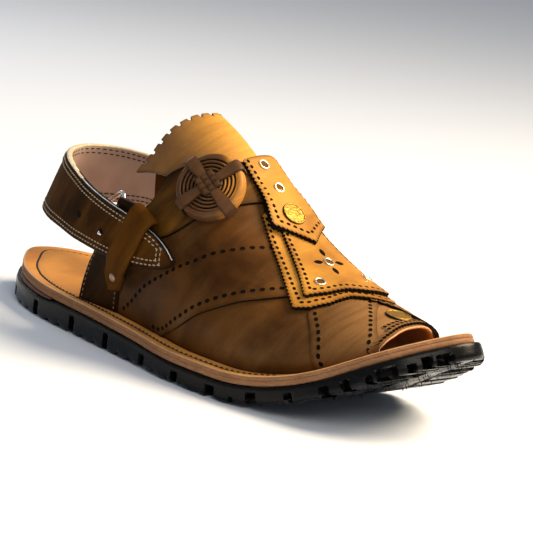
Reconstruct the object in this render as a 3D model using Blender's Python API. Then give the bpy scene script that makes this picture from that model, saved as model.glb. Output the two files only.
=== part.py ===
"""Open-toe leather sandal on a tyre-rubber sole, right foot, with a buckled heel strap.

Every size below is in millimetres in the shoe's working frame: x runs from the back of the heel to
the toe, +y points to the inner (medial) side of the foot, -y to the outer (lateral) side, z is the
height over the floor. The finished meshes are moved so that the middle of the sole's footprint is
the origin, and are scaled to metres.
"""

import math

import bmesh
import bpy
import numpy as np
from mathutils import Vector

MM = 0.001

# ---- driving dimensions -------------------------------------------------------------------------
LENGTH = 293.5            # leather sole, back of the heel to the tip of the toe
GAP = 0.3                 # clearance between two pieces that touch
LEATHER = 2.3             # midsole, and insole
LEATHERS = 2 * (LEATHER + GAP)
RUBBER = 9.4              # tyre-rubber outsole at the ball
RUBBER_SKIVE = 1.4        # the rubber thins by this much just in front of the ball
SKIVE_FROM, SKIVE_TO = 203.0, 222.0
WAIST_RISE = 0.9          # the underside stands clear of the floor at the waist
WAIST_FROM, WAIST_TO = 118.0, 190.0
SPRING_FROM = 200.6       # the toe spring starts at the ball
SPRING_RADIUS = 113.0     # radius of the insole's top there
SPRING_ANGLE = math.radians(31.4)
STACK = RUBBER + LEATHERS
LIFT_END = 66.0           # the heel lift stops here, where it is still a thin edge
END_PROUD = 1.4           # the rubber stands out of the leather at the heel and at the toe

# x, how far inside the sole's edge the upper meets the insole, outer and inner side
FOOT_INSET = ((0.0, 9.5, 9.5), (215.0, 9.5, 9.5), (240.0, 9.5, 11.5), (LENGTH, 9.5, 18.0))
WALL = 2.0                # upper leather
OVERLAY = 1.6             # panels and cross band
FLAP = 1.8
TONGUE = 1.8
CREST_Y = 6.0             # ridge of the instep, towards the inner side
TUCK_SHARE = 0.32         # lowest share of the wall, which tucks in to the insole

# station / length, outer edge, inner edge
OUTLINE = (
    (0.000, 6.0, 6.0),
    (0.030, -9.6, 25.0),
    (0.100, -26.4, 36.6),
    (0.200, -37.4, 37.8),
    (0.330, -43.3, 35.4),
    (0.470, -49.4, 34.0),
    (0.600, -54.8, 40.6),
    (0.690, -53.5, 47.0),
    (0.780, -48.2, 48.2),
    (0.870, -38.5, 43.7),
    (0.940, -25.5, 34.2),
    (0.985, -6.1, 20.7),
    (1.000, 9.6, 9.6),
)

# x, height of the insole's top over the floor as far as the ball, thickness of the heel lift
BED = (
    (0.0, 21.3, 4.6),
    (18.0, 20.0, 3.9),
    (27.0, 19.3, 3.2),
    (42.0, 18.3, 2.3),
    (60.0, 17.7, 1.7),
    (77.0, 17.4, 0.0),
    (100.0, 17.2, 0.0),
    (118.0, 16.8, 0.0),
    (135.0, 16.3, 0.0),
    (160.0, 15.2, 0.0),
    (185.0, STACK + 0.1, 0.0),
    (200.6, STACK, 0.0),
)

# x, how far the rubber stands out of the leather's edge
RUBBER_PROUD = ((0.0, 1.8), (35.0, 1.2), (60.0, 0.6), (250.0, 0.6), (280.0, 1.3), (LENGTH, 1.5))

# x, height of the ridge, roundness of the section, tuck of the wall at the insole
LAST = (
    (96.0, 124.9, 2.2, 4.0),
    (110.0, 123.2, 2.2, 4.0),
    (130.0, 116.2, 2.2, 4.0),
    (148.0, 106.0, 2.2, 4.0),
    (168.0, 90.4, 2.2, 4.0),
    (180.0, 79.4, 2.2, 4.5),
    (192.0, 70.2, 2.2, 5.0),
    (205.0, 63.1, 2.2, 5.0),
    (218.0, 57.5, 2.2, 5.0),
    (232.0, 53.5, 2.2, 4.5),
    (246.0, 51.2, 2.2, 3.5),
    (258.0, 49.5, 2.2, 2.0),
    (272.0, 48.9, 2.2, 1.0),
)

# share of the girth (-1 outer foot, 0 ridge, 1 inner foot), x of the collar edge, x of the toe edge
UPPER_EDGES = (
    (-1.0, 116.0, 269.5),
    (-0.8, 121.0, 270.0),
    (-0.6, 129.0, 270.0),
    (-0.4, 139.0, 269.0),
    (-0.2, 153.0, 268.0),
    (0.0, 166.0, 267.5),
    (0.2, 153.0, 267.0),
    (0.4, 140.0, 266.0),
    (0.6, 131.0, 265.0),
    (0.8, 124.0, 263.5),
    (1.0, 119.0, 262.0),
)

# share across the fan, x and girth of its rear edge, x and girth where it ends under the upper
TONGUE_FAN = (
    (-1.00, 104.0, -56.0, 143.0, -43.0),
    (-0.75, 109.5, -43.5, 152.0, -33.0),
    (-0.50, 112.5, -30.0, 163.0, -22.0),
    (-0.25, 117.5, -15.0, 174.0, -11.0),
    (0.00, 121.0, 0.0, 178.0, 0.0),
    (0.25, 117.5, 15.0, 174.0, 11.0),
    (0.50, 112.5, 30.0, 163.0, 22.0),
    (0.75, 109.5, 43.5, 152.0, 33.0),
    (1.00, 104.0, 56.0, 143.0, 43.0),
)

# x, girth of the outer edge, girth of the inner edge
PANEL_LOWER = ((177.0, -18.0, 11.0), (197.0, -24.5, 16.0), (217.0, -33.5, 21.5), (224.0, -37.0, 22.5))
PANEL_MIDDLE = ((179.0, -12.0, 10.0), (193.0, -15.5, 13.5), (210.0, -22.0, 18.0), (224.0, -29.5, 20.5))
FLAP_SIDES = ((154.5, -13.5, 8.0), (168.0, -14.0, 12.0), (184.0, -18.0, 15.0))
# share across, how far the bottom edge stands before the last row above
LOWER_HEM = ((0.0, -1.0), (0.095, 5.0), (0.25, 9.0), (0.475, 9.5), (0.63, 14.0), (0.79, 20.0), (1.0, 8.0))
MIDDLE_HEM = ((0.0, -1.0), (0.21, 4.0), (0.425, 5.5), (0.64, 10.0), (0.85, 11.5), (1.0, 4.0))
FLAP_HEM = ((0.0, 0.0), (0.5, 13.5), (1.0, 0.0))

# share along the band, x and girth of its rear edge, x and girth of its front edge
CROSS_BAND = (
    (0.00, 124.0, -67.5, 140.0, -73.0),
    (0.15, 127.5, -62.0, 145.0, -68.5),
    (0.35, 129.5, -50.0, 151.0, -61.0),
    (0.60, 140.0, -34.0, 161.0, -43.5),
    (0.82, 152.0, -17.0, 169.5, -26.0),
    (1.00, 159.0, -5.0, 173.5, -12.0),
)

# x, y of the strap's middle in plan, top edge, bottom edge, lean of the top towards the foot
HEEL_STRAP = (
    (158.0, -48.6, 55.4, 52.4, 0.0),
    (152.0, -48.6, 60.4, 49.4, 0.0),
    (142.0, -48.2, 64.9, 46.9, 0.0),
    (127.0, -47.0, 67.9, 45.4, 0.5),
    (112.0, -45.2, 69.9, 44.9, 1.0),
    (95.0, -41.0, 71.4, 44.9, 1.5),
    (76.0, -35.0, 73.4, 44.9, 2.5),
    (56.0, -27.5, 76.6, 45.9, 4.0),
    (36.0, -17.5, 78.7, 46.6, 7.0),
    (20.0, -4.0, 80.1, 47.8, 10.0),
    (14.5, 10.0, 80.7, 48.3, 10.0),
    (19.0, 22.0, 81.2, 49.3, 8.0),
    (31.0, 31.5, 81.2, 50.8, 5.0),
    (50.0, 36.0, 80.6, 52.8, 3.0),
    (75.0, 37.0, 78.1, 50.8, 1.5),
    (100.0, 35.5, 73.7, 47.6, 1.0),
    (118.0, 35.0, 70.1, 45.4, 0.5),
)
STRAP_THICK = 3.0

# height over the insole, x of the rear edge, x of the front edge
EAR_OUTER = ((0.0, 84.5, 112.5), (8.0, 84.0, 113.8), (16.0, 85.0, 116.5), (26.0, 89.5, 121.0),
             (42.0, 99.0, 127.0), (50.0, 104.5, 127.0), (57.0, 108.5, 123.0))
EAR_INNER = ((0.0, 88.0, 114.0), (10.0, 89.0, 115.0), (25.0, 91.0, 116.5), (42.0, 93.0, 116.5))
EAR_FOOT = (-37.0, 27.0)  # y of the outer and the inner ear where they stand on the insole
EAR_THICK = 2.0
EAR_LEAN_TO = 28.0        # at this height the ear has reached the strap's inner face
EAR_CLEAR = 1.3

KEEPER_WIDTH = 15.5
KEEPER_THICK = 2.0
KEEPER_LEAN = math.radians(27.0)
KEEPER_AT = (127.0, 56.4)           # x and z of its middle on the strap
KEEPER_TOP = 17.0                   # up its own axis from the middle to the fold
KEEPER_TIP = -30.0                  # down to the riveted point
KEEPER_RIVET = -22.0                # down to the rivet

MEDALLION_AT = (157.3, -34.7)       # x and girth of its centre
MEDALLION_RADIUS = 16.8
MEDALLION_HEIGHT = 7.0
MEDALLION_AXIS = Vector((0.31, -0.79, 0.53)).normalized()
MEDALLION_SEAT = 3.3                # height of its back over the upper's surface
CROSS_WIDTH = 5.4
CROSS_THICK = 1.2
CROSS_TURNS = (math.radians(50.0), math.radians(144.0))
CROSS_OVER = (0.0, 0.35)            # the second strap crosses over the first

BADGE_RADIUS = 6.2
BADGE_HEIGHT = 0.9
EYELET_RADIUS = 2.25                # to the middle of the rolled ring
EYELET_ROLL = 0.55

BUCKLE_WIRE = 1.0                   # radius of the wire
BUCKLE_SIZE = (18.0, 28.0)          # along the strap, across the strap
BUCKLE_CORNER = 3.0
BUCKLE_AT = (104.3, -34.9, 59.9)
BUCKLE_TURN = math.radians(30.0)    # its top bar rises towards the toe
BUCKLE_PLAN = (0.962, -0.272)       # direction of the strap in plan where the buckle lies

# x, width and depth of each groove in the side of the tread
TREAD_GROOVES = (
    (24.0, 3.0, 6.0), (55.0, 3.2, 6.0), (88.0, 3.2, 6.0), (118.5, 3.2, 6.0), (150.0, 3.2, 5.0),
    (176.5, 3.0, 5.0), (199.5, 3.6, 5.0), (221.0, 3.6, 5.0), (238.0, 3.0, 5.0), (252.4, 3.0, 5.0),
    (263.0, 3.0, 5.0), (275.0, 6.0, 6.5), (286.0, 3.0, 5.5),
)


# ---- small tools --------------------------------------------------------------------------------
def column(table, index):
    """One column of a table as an array."""
    return np.array([row[index] for row in table], dtype=float)


def through(xs, ys, x):
    """A cubic through the rows (xs, ys) that rises and falls only where the rows do."""
    step = np.diff(xs)
    rise = np.diff(ys) / step
    slope = np.empty(len(xs))
    slope[0], slope[-1] = rise[0], rise[-1]
    before, after = rise[:-1], rise[1:]
    weight_before, weight_after = 2 * step[1:] + step[:-1], step[1:] + 2 * step[:-1]
    same_way = before * after > 0
    safe_before = np.where(same_way, before, 1.0)
    safe_after = np.where(same_way, after, 1.0)
    mean = (weight_before + weight_after) / (weight_before / safe_before + weight_after / safe_after)
    slope[1:-1] = np.where(same_way, mean, 0.0)
    x = np.clip(x, xs[0], xs[-1])
    k = np.clip(np.searchsorted(xs, x, side="right") - 1, 0, len(xs) - 2)
    t = (x - xs[k]) / step[k]
    return (
        (1 + 2 * t) * (1 - t) ** 2 * ys[k]
        + t * (1 - t) ** 2 * step[k] * slope[k]
        + t * t * (3 - 2 * t) * ys[k + 1]
        + t * t * (t - 1) * step[k] * slope[k + 1]
    )


def read(table, index, x):
    """The smooth value of a table's column at x, where column 0 is the position."""
    return through(column(table, 0), column(table, index), np.asarray(x, dtype=float))


def ease(t):
    """0 to 1 with a soft start and end."""
    t = np.clip(t, 0.0, 1.0)
    return t * t * (3 - 2 * t)


# ---- the sole -----------------------------------------------------------------------------------
def rim(x):
    """Outer and inner edge of the sole at x; the turn at heel and toe is round."""
    turn = np.arccos(np.clip(1 - 2 * np.asarray(x, dtype=float) / LENGTH, -1, 1))
    stations = np.arccos(1 - 2 * column(OUTLINE, 0))
    return through(stations, column(OUTLINE, 1), turn), through(stations, column(OUTLINE, 2), turn)


def proud(x):
    """How far the rubber stands out of the leather at x."""
    return np.interp(x, column(RUBBER_PROUD, 0), column(RUBBER_PROUD, 1))


def longer(x):
    """Where x of the leather lies on the rubber, which is longer at both ends."""
    return x * (1 + 2 * END_PROUD / LENGTH) - END_PROUD


def heel_rise(x):
    """How much higher than at the ball the leather lies at x."""
    return read(BED, 1, x) - STACK


def tread_top(x):
    """Height of the rubber's top: under the leather, and under the lift at the heel."""
    return RUBBER + heel_rise(x) - read(BED, 2, x)


def tread_bottom(x):
    """Height of the rubber's underside: clear of the floor at the waist, thinner under the toe."""
    waist = np.sin(np.pi * np.clip((x - WAIST_FROM) / (WAIST_TO - WAIST_FROM), 0, 1)) ** 2
    return WAIST_RISE * waist + RUBBER_SKIVE * ease((x - SKIVE_FROM) / (SKIVE_TO - SKIVE_FROM))


def sole_point(x, y, height):
    """Place a point of the sole: x as on the insole, height square to the bent underside."""
    x = np.asarray(x, dtype=float)
    arc_end = SPRING_FROM + SPRING_RADIUS * math.sin(SPRING_ANGLE)
    angle = np.arcsin(np.clip((x - SPRING_FROM) / SPRING_RADIUS, 0, math.sin(SPRING_ANGLE)))
    beyond = np.maximum(x - arc_end, 0) / math.cos(SPRING_ANGLE)
    radius = SPRING_RADIUS + STACK - height
    along = np.where(x > SPRING_FROM, SPRING_FROM + radius * np.sin(angle), x)
    up = np.where(x > SPRING_FROM, SPRING_RADIUS + STACK - radius * np.cos(angle), height)
    along = along + beyond * math.cos(SPRING_ANGLE)
    up = up + beyond * math.sin(SPRING_ANGLE)
    return np.stack(np.broadcast_arrays(along, y, up), axis=-1)


def bed(x):
    """Height of the insole's top over the floor at x."""
    return sole_point(x, 0.0, STACK + heel_rise(x))[..., 2]


def ladder_stations(start, end, count):
    """Stations from start to end, closer together where the outline turns."""
    turn = np.linspace(0, np.pi, count)
    every = LENGTH * (1 - np.cos(turn)) / 2
    inside = every[(every > start) & (every < end)]
    return np.concatenate([[start], inside, [end]])


# ---- the last, which carries the upper and everything on it ---------------------------------------
def foot_line(x):
    """Outer and inner y where the upper stands on the insole."""
    step = 1.0
    outer, inner = rim(x)
    outer_next, inner_next = rim(x + step)
    outer_slope = (outer_next - outer) / step
    inner_slope = (inner_next - inner) / step
    return (
        outer + read(FOOT_INSET, 1, x) * np.sqrt(1 + outer_slope**2),
        inner - read(FOOT_INSET, 2, x) * np.sqrt(1 + inner_slope**2),
    )


def section(x, turn):
    """A point of the last's section at x; turn is -90 degrees at the outer foot, 0 on the ridge.

    The section is half a superellipse on each side of the ridge, and its lowest part tucks in.
    """
    crest, roundness, tuck = (read(LAST, k, x) for k in (1, 2, 3))
    outer, inner = foot_line(x)
    floor = bed(x) + GAP
    sine, cosine = np.sin(turn), np.clip(np.cos(turn), 0, 1)
    side = np.sign(sine)
    height = cosine ** (2 / roundness)
    reach = np.abs(sine) ** (2 / roundness)
    half = np.where(side < 0, CREST_Y - outer, inner - CREST_Y) + tuck
    tucked = tuck * np.clip(1 - height / TUCK_SHARE, 0, 1) ** 2
    return CREST_Y + side * (half * reach - tucked), floor + (crest - floor) * height


SECTION_STEPS = 96


def girth_table(x):
    """For every x: turns from foot to foot, and the girth from the ridge at each of them."""
    turns = np.linspace(-np.pi / 2, np.pi / 2, 2 * SECTION_STEPS + 1)
    y, z = section(x[:, None], turns[None, :])
    run = np.cumsum(np.hypot(np.diff(y, axis=1), np.diff(z, axis=1)), axis=1)
    run = np.concatenate([np.zeros((len(x), 1)), run], axis=1)
    return turns, run - run[:, SECTION_STEPS][:, None]


def last_point(x, girth, share=False):
    """Points of the last at x and at a girth from the ridge, or at a share of the way to the foot."""
    x, girth = np.broadcast_arrays(np.asarray(x, dtype=float), np.asarray(girth, dtype=float))
    flat_x, flat_girth = x.ravel(), girth.ravel()
    turns, run = girth_table(flat_x)
    if share:
        flat_girth = np.where(flat_girth < 0, -flat_girth * run[:, 0], flat_girth * run[:, -1])
    turn = np.array([np.interp(g, row, turns) for g, row in zip(flat_girth, run)])
    y, z = section(flat_x, turn)
    return np.stack([flat_x, y, z], axis=-1).reshape(x.shape + (3,))


def last_normal(x, girth, share=False):
    """Outward normal of the last at the same places."""
    d_x, d_girth = 0.5, 0.004 if share else 0.4
    limit = 1.0 if share else np.inf
    low, high = np.maximum(girth - d_girth, -limit), np.minimum(girth + d_girth, limit)
    along = last_point(x + d_x, girth, share) - last_point(x - d_x, girth, share)
    across = last_point(x, high, share) - last_point(x, low, share)
    normal = np.cross(along, across)
    return normal / np.linalg.norm(normal, axis=-1)[..., None]


def lifted(x, girth, lift, share=False):
    """Points that stand off the last by lift."""
    lift = np.asarray(lift, dtype=float)
    return last_point(x, girth, share) + last_normal(x, girth, share) * lift[..., None]


# ---- meshes -------------------------------------------------------------------------------------
FRAME_X = 0.0    # set once the sole is known, see set_frame
FRAME_Y = 0.0


def set_frame():
    """Put the origin under the middle of the sole's footprint."""
    global FRAME_X, FRAME_Y
    x = ladder_stations(0.0, LENGTH, 200)
    outer, inner = rim(x)
    widest = sole_point(longer(x), 0.0, tread_bottom(x))[:, 0]
    FRAME_X = (widest.min() + widest.max()) / 2
    FRAME_Y = (outer.min() + inner.max()) / 2


def to_frame(points):
    """Working millimetres to metres round the origin."""
    return (np.asarray(points, dtype=float) - (FRAME_X, FRAME_Y, 0.0)) * MM


def material(name, colour, roughness, metallic=0.0):
    """A plain Principled material."""
    made = bpy.data.materials.new(name)
    made.use_nodes = True
    shader = made.node_tree.nodes["Principled BSDF"]
    shader.inputs["Base Color"].default_value = (*colour, 1.0)
    shader.inputs["Roughness"].default_value = roughness
    shader.inputs["Metallic"].default_value = metallic
    return made


def add_object(name, points, faces, finish):
    """A closed mesh object from points in millimetres, with its faces turned outwards."""
    mesh = bpy.data.meshes.new(name)
    shape = bmesh.new()
    corners = [shape.verts.new(p) for p in to_frame(points).reshape(-1, 3)]
    for face in faces:
        shape.faces.new([corners[k] for k in face])
    bmesh.ops.remove_doubles(shape, verts=shape.verts, dist=1e-6)
    bmesh.ops.dissolve_degenerate(shape, edges=shape.edges, dist=1e-7)
    bmesh.ops.triangulate(shape, faces=shape.faces)
    bmesh.ops.recalc_face_normals(shape, faces=shape.faces)
    if shape.calc_volume(signed=True) < 0:
        bmesh.ops.reverse_faces(shape, faces=shape.faces)
    shape.to_mesh(mesh)
    shape.free()
    mesh.shade_smooth()
    mesh.set_sharp_from_angle(angle=math.radians(40))
    mesh.materials.append(finish)
    made = bpy.data.objects.new(name, mesh)
    bpy.context.collection.objects.link(made)
    return made


def grid_faces(rows, columns, start=0, wrap=False):
    """Quads of a grid of points; wrap joins the last column to the first."""
    faces = []
    for i in range(rows - 1):
        for j in range(columns if wrap else columns - 1):
            k = (j + 1) % columns
            faces.append((start + i * columns + j, start + i * columns + k,
                          start + (i + 1) * columns + k, start + (i + 1) * columns + j))
    return faces


def sheet(name, front, back, finish):
    """A closed sheet between two grids of the same size: both faces and the rim between them."""
    rows, columns = front.shape[:2]
    count = rows * columns
    faces = grid_faces(rows, columns) + [face[::-1] for face in grid_faces(rows, columns, count)]
    border = [(0, j) for j in range(columns - 1)] + [(i, columns - 1) for i in range(rows - 1)]
    border += [(rows - 1, j) for j in range(columns - 1, 0, -1)] + [(i, 0) for i in range(rows - 1, 0, -1)]
    rim_points = [i * columns + j for i, j in border]
    for a, b in zip(rim_points, rim_points[1:] + rim_points[:1]):
        faces.append((b, a, a + count, b + count))
    points = np.concatenate([front.reshape(-1, 3), back.reshape(-1, 3)])
    return add_object(name, points, faces, finish)


def tube(name, centres, radius, sides, across, finish):
    """A closed ring of round wire along centres; across is the ring's own axis."""
    centres = np.asarray(centres, dtype=float)
    ahead = np.roll(centres, -1, axis=0) - np.roll(centres, 1, axis=0)
    ahead /= np.linalg.norm(ahead, axis=1)[:, None]
    out = np.cross(ahead, across)
    turn = np.linspace(0, 2 * np.pi, sides, endpoint=False)
    points = (centres[:, None]
              + radius * (np.cos(turn)[None, :, None] * out[:, None]
                          + np.sin(turn)[None, :, None] * np.asarray(across)[None, None]))
    closed = np.concatenate([points, points[:1]])
    return add_object(name, closed, grid_faces(len(closed), sides, wrap=True), finish)


def turned(name, profile, centre, axis, sides, finish, stretch=1.0):
    """A lathe shape round an axis; the profile's rows are radius and height, ends on the axis."""
    axis = np.asarray(axis, dtype=float)
    first = np.cross((0.0, 0.0, 1.0), axis)
    first /= np.linalg.norm(first)
    second = np.cross(axis, first)
    turn = np.linspace(0, 2 * np.pi, sides, endpoint=False)
    spoke = np.cos(turn)[:, None] * first * stretch + np.sin(turn)[:, None] * second
    profile = np.asarray(profile, dtype=float)
    points = (np.asarray(centre) + profile[:, 0, None, None] * spoke[None]
              + profile[:, 1, None, None] * axis[None, None])
    return add_object(name, points, grid_faces(len(profile), sides, wrap=True), finish)


# ---- sole pieces --------------------------------------------------------------------------------
LAYER_STATIONS = 42


def make_layer(name, start, end, bottom, top, finish, inset=0.0):
    """A flat-edged layer of the sole between two heights, which may change along x."""
    x = ladder_stations(start, end, LAYER_STATIONS)
    outer, inner = rim(x)
    middle = (outer + inner) / 2
    outer = np.minimum(outer + inset, middle)
    inner = np.maximum(inner - inset, middle)
    edges = np.stack([outer, inner], axis=1)
    front = sole_point(x[:, None], edges, top(x)[:, None])
    back = sole_point(x[:, None], edges, bottom(x)[:, None])
    return sheet(name, front, back, finish)


def groove_lines():
    """Stations of the outsole: each groove gets its two lips and the two edges of its floor."""
    lip = 0.7
    stations, depths = [], []
    for x, width, depth in TREAD_GROOVES:
        stations += [x - width / 2 - lip, x - width / 2, x + width / 2, x + width / 2 + lip]
        depths += [0.0, depth, depth, 0.0]
    between = (0.0, 1.0, 4.0, 10.0, 40.0, 71.0, 103.0, 134.0, 163.0, 188.0, 208.0, 229.5, 245.0, 269.0,
               290.0, 292.2, LENGTH)
    for x in between:
        stations.append(x)
        depths.append(0.0)
    order = np.argsort(stations)
    return np.array(stations)[order], np.array(depths)[order]


def make_outsole(finish):
    """Tyre rubber: lugs along both edges between cross grooves, and a rib down the middle."""
    x, depth = groove_lines()
    outer, inner = rim(x)
    middle, half = (outer + inner) / 2, (inner - outer) / 2
    stand = proud(x) * np.minimum(half / 10.0, 1.0)
    # share of the half width, share of the cross groove's depth, depth of a groove along the sole
    profile = ((1.00, 1.0, 0.0), (0.36, 1.0, 0.0), (0.34, 0.0, 4.5), (0.26, 0.0, 4.5), (0.24, 0.0, 0.0))
    profile = profile + tuple((-share, cut, along) for share, cut, along in reversed(profile))
    share, cut, along = (column(profile, k) for k in (0, 1, 2))
    wave = 0.03 * np.sin(2 * np.pi * x / 24.0)
    inside = (np.abs(share) < 0.5)[None, :]
    spread = share[None, :] + np.where(inside, wave[:, None], 0.0)
    y = middle[:, None] - spread * (half + stand)[:, None]
    fade = np.minimum(half / 20.0, 1.0)[:, None]
    top = tread_top(x)[:, None]
    bottom = tread_bottom(x)[:, None] + np.maximum(depth[:, None] * cut[None, :], along[None, :]) * fade
    x = longer(x)[:, None]
    front = sole_point(x, y, np.broadcast_to(top, y.shape))
    back = sole_point(x, y, bottom)
    return sheet("outsole", front, back, finish)


def make_sole(finish):
    """Outsole, heel lift, midsole and insole, each a gap over the one below."""
    make_outsole(finish["rubber"])
    make_layer("heel_lift", 0.0, LIFT_END, lambda x: tread_top(x) + 1.5 * GAP,
               lambda x: RUBBER + heel_rise(x), finish["lift"])
    lowest = RUBBER + GAP
    make_layer("midsole", 0.0, LENGTH, lambda x: lowest + heel_rise(x),
               lambda x: lowest + LEATHER + heel_rise(x), finish["sole_leather"])
    make_layer("insole", 0.0, LENGTH, lambda x: lowest + LEATHER + GAP + heel_rise(x),
               lambda x: STACK + heel_rise(x), finish["insole"])


# ---- upper pieces -------------------------------------------------------------------------------
UPPER_COLUMNS, UPPER_ROWS = 18, 32


def make_upper(finish):
    """Vamp, quarters and instep as one hollow wall, open at the collar, the toe and underneath."""
    share = np.linspace(-1, 1, UPPER_ROWS + 1)[:, None]
    way = np.linspace(0, 1, UPPER_COLUMNS + 1)[None, :]
    collar, toe = read(UPPER_EDGES, 1, share), read(UPPER_EDGES, 2, share)
    x = collar + (toe - collar) * way
    share = np.broadcast_to(share, x.shape)
    front = last_point(x, share, share=True)
    normal = last_normal(x, share, share=True)
    back = front - WALL * normal
    for row in (0, -1):
        flat = normal[row] * (1, 1, 0)
        flat /= np.linalg.norm(flat, axis=-1)[:, None]
        back[row] = front[row] - WALL * flat
        back[row, :, 2] = bed(back[row, :, 0]) + GAP
    sheet("upper", front, back, finish)


def make_tongue(finish):
    """The fan that rises out of the collar."""
    across = np.linspace(-1, 1, 21)[None, :]
    way = np.linspace(0, 1, 9)[:, None]
    rear_x, rear_g, root_x, root_g = (read(TONGUE_FAN, k, across) for k in (1, 2, 3, 4))
    x = rear_x + (root_x - rear_x) * way
    girth = rear_g + (root_g - rear_g) * way
    lift = np.full(x.shape, -WALL - 1.5 * GAP)
    sheet("tongue", lifted(x, girth, lift), lifted(x, girth, lift - TONGUE), finish)


def flap_lift(x):
    """The flap lies on the cross band at its root and on the middle panel farther down."""
    low, high = GAP + OVERLAY + GAP, 3 * GAP + 2 * OVERLAY
    return low + (high - low) * ease((x - 164.0) / 14.0)


def make_panel(name, sides, hem, lift, thickness, finish, rows=8, columns=12):
    """A leather panel on the ridge: two side edges from the table, and a shaped bottom edge."""
    top, bottom = sides[0][0], sides[-1][0]
    down = np.linspace(0, 1, rows)[:, None]
    across = np.linspace(0, 1, columns + 1)[None, :]
    nominal = top + (bottom - top) * down
    left, right = read(sides, 1, nominal), read(sides, 2, nominal)
    girth = left + (right - left) * across
    x = nominal + np.interp(across, column(hem, 0), column(hem, 1)) * down**2
    stand = lift(x)
    sheet(name, lifted(x, girth, stand + thickness), lifted(x, girth, stand), finish)


def make_cross_band(finish):
    """The band from the outer quarter up to the ridge, with a pointed rear end."""
    way = np.linspace(0, 1, 15)[:, None]
    across = np.linspace(0, 1, 6)[None, :]
    rear_x, rear_g, front_x, front_g = (read(CROSS_BAND, k, way) for k in (1, 2, 3, 4))
    x = rear_x + (front_x - rear_x) * across
    girth = rear_g + (front_g - rear_g) * across
    lift = np.full(x.shape, GAP)
    sheet("cross_band", lifted(x, girth, lift + OVERLAY), lifted(x, girth, lift), finish)


def make_overlays(finish):
    """Cross band, the three stacked panels and the tongue."""
    make_tongue(finish["upper"])
    make_cross_band(finish["upper"])
    make_panel("panel_lower", PANEL_LOWER, LOWER_HEM, lambda x: np.full_like(x, GAP),
               OVERLAY, finish["panel"])
    make_panel("panel_middle", PANEL_MIDDLE, MIDDLE_HEM, lambda x: np.full_like(x, 2 * GAP + OVERLAY),
               OVERLAY, finish["panel"])
    make_panel("flap", FLAP_SIDES, FLAP_HEM, flap_lift, FLAP, finish["panel"])


# ---- medallion ----------------------------------------------------------------------------------
def make_medallion(finish):
    """A flat coil of leather with two narrow straps wrapped across it."""
    seat = lifted(np.array([MEDALLION_AT[0]]), np.array([MEDALLION_AT[1]]), np.array([MEDALLION_SEAT]))[0]
    axis = np.array(MEDALLION_AXIS)
    edge = 2.0
    profile = [(0.0, 0.0), (MEDALLION_RADIUS - 1.0, 0.0), (MEDALLION_RADIUS, 1.2),
               (MEDALLION_RADIUS, MEDALLION_HEIGHT - edge)]
    profile += [(MEDALLION_RADIUS - edge + edge * math.cos(a), MEDALLION_HEIGHT - edge + edge * math.sin(a))
                for a in (math.pi / 6, math.pi / 3, math.pi / 2)]
    profile.append((0.0, MEDALLION_HEIGHT))
    turned("medallion", profile, seat, axis, 36, finish["upper"])

    first = np.cross((0.0, 0.0, 1.0), axis)
    first /= np.linalg.norm(first)
    second = np.cross(axis, first)
    out = MEDALLION_RADIUS + GAP
    bands = []
    for name, turn, over in zip(("medallion_straps", "medallion_strap_other"), CROSS_TURNS, CROSS_OVER):
        top = MEDALLION_HEIGHT + GAP + over
        side_in = [(-out, 1.6), (-out, top - 2.0), (-out + 0.8, top - 0.6), (-out + 2.2, top)]
        side_out = [(-out - CROSS_THICK, 1.6), (-out - CROSS_THICK, top - 1.1),
                    (-out + 0.8 - CROSS_THICK, top + 0.3), (-out + 2.2, top + CROSS_THICK)]
        along = math.cos(turn) * first + math.sin(turn) * second
        side = np.cross(axis, along) * CROSS_WIDTH / 2
        grids = []
        for half, middle in ((side_out, top + 0.4 + CROSS_THICK), (side_in, top + 0.4)):
            line = half + [(0.0, middle)] + [(-r, h) for r, h in reversed(half)]
            spine = np.array([seat + r * along + h * axis for r, h in line])
            grids.append(np.stack([spine - side, spine + side], axis=1))
        bands.append(sheet(name, grids[0], grids[1], finish["upper"]))
    whole, other = bands
    other.hide_render = True
    other.display_type = "WIRE"
    join = whole.modifiers.new("join", "BOOLEAN")
    join.operation = "UNION"
    join.object = other


# ---- straps at the heel -------------------------------------------------------------------------
def strap_frame(way):
    """Outer face of the heel strap in plan, its inward direction, and the table's other columns."""
    rows = np.linspace(0, 1, len(HEEL_STRAP))
    x, y, top, bottom, lean = (through(rows, column(HEEL_STRAP, k), way) for k in range(5))
    step = 1e-3
    x_next, y_next = (through(rows, column(HEEL_STRAP, k), np.clip(way + step, 0, 1)) for k in (0, 1))
    x_last, y_last = (through(rows, column(HEEL_STRAP, k), np.clip(way - step, 0, 1)) for k in (0, 1))
    ahead = np.stack([x_next - x_last, y_next - y_last], axis=-1)
    ahead /= np.linalg.norm(ahead, axis=-1)[..., None]
    inward = np.stack([ahead[..., 1], -ahead[..., 0]], axis=-1)
    return x, y, top, bottom, lean, inward


def strap_surface(way, share, depth):
    """Points of the heel strap: share 0 at its bottom edge, 1 at its top; depth inwards."""
    x, y, top, bottom, lean, inward = strap_frame(way)
    shift = depth + lean * (share - 0.5)
    return np.stack([x + inward[..., 0] * shift, y + inward[..., 1] * shift,
                     bottom + (top - bottom) * share], axis=-1)


def make_heel_strap(finish):
    """The sling round the heel, from its pointed end on the outer side to the inner ear."""
    way = np.linspace(0, 1, 61)[:, None]
    share = np.linspace(0, 1, 2)[None, :]
    way, share = np.broadcast_arrays(way, share)
    sheet("heel_strap", strap_surface(way, share, np.zeros(way.shape)),
          strap_surface(way, share, np.full(way.shape, STRAP_THICK)), finish)


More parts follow.
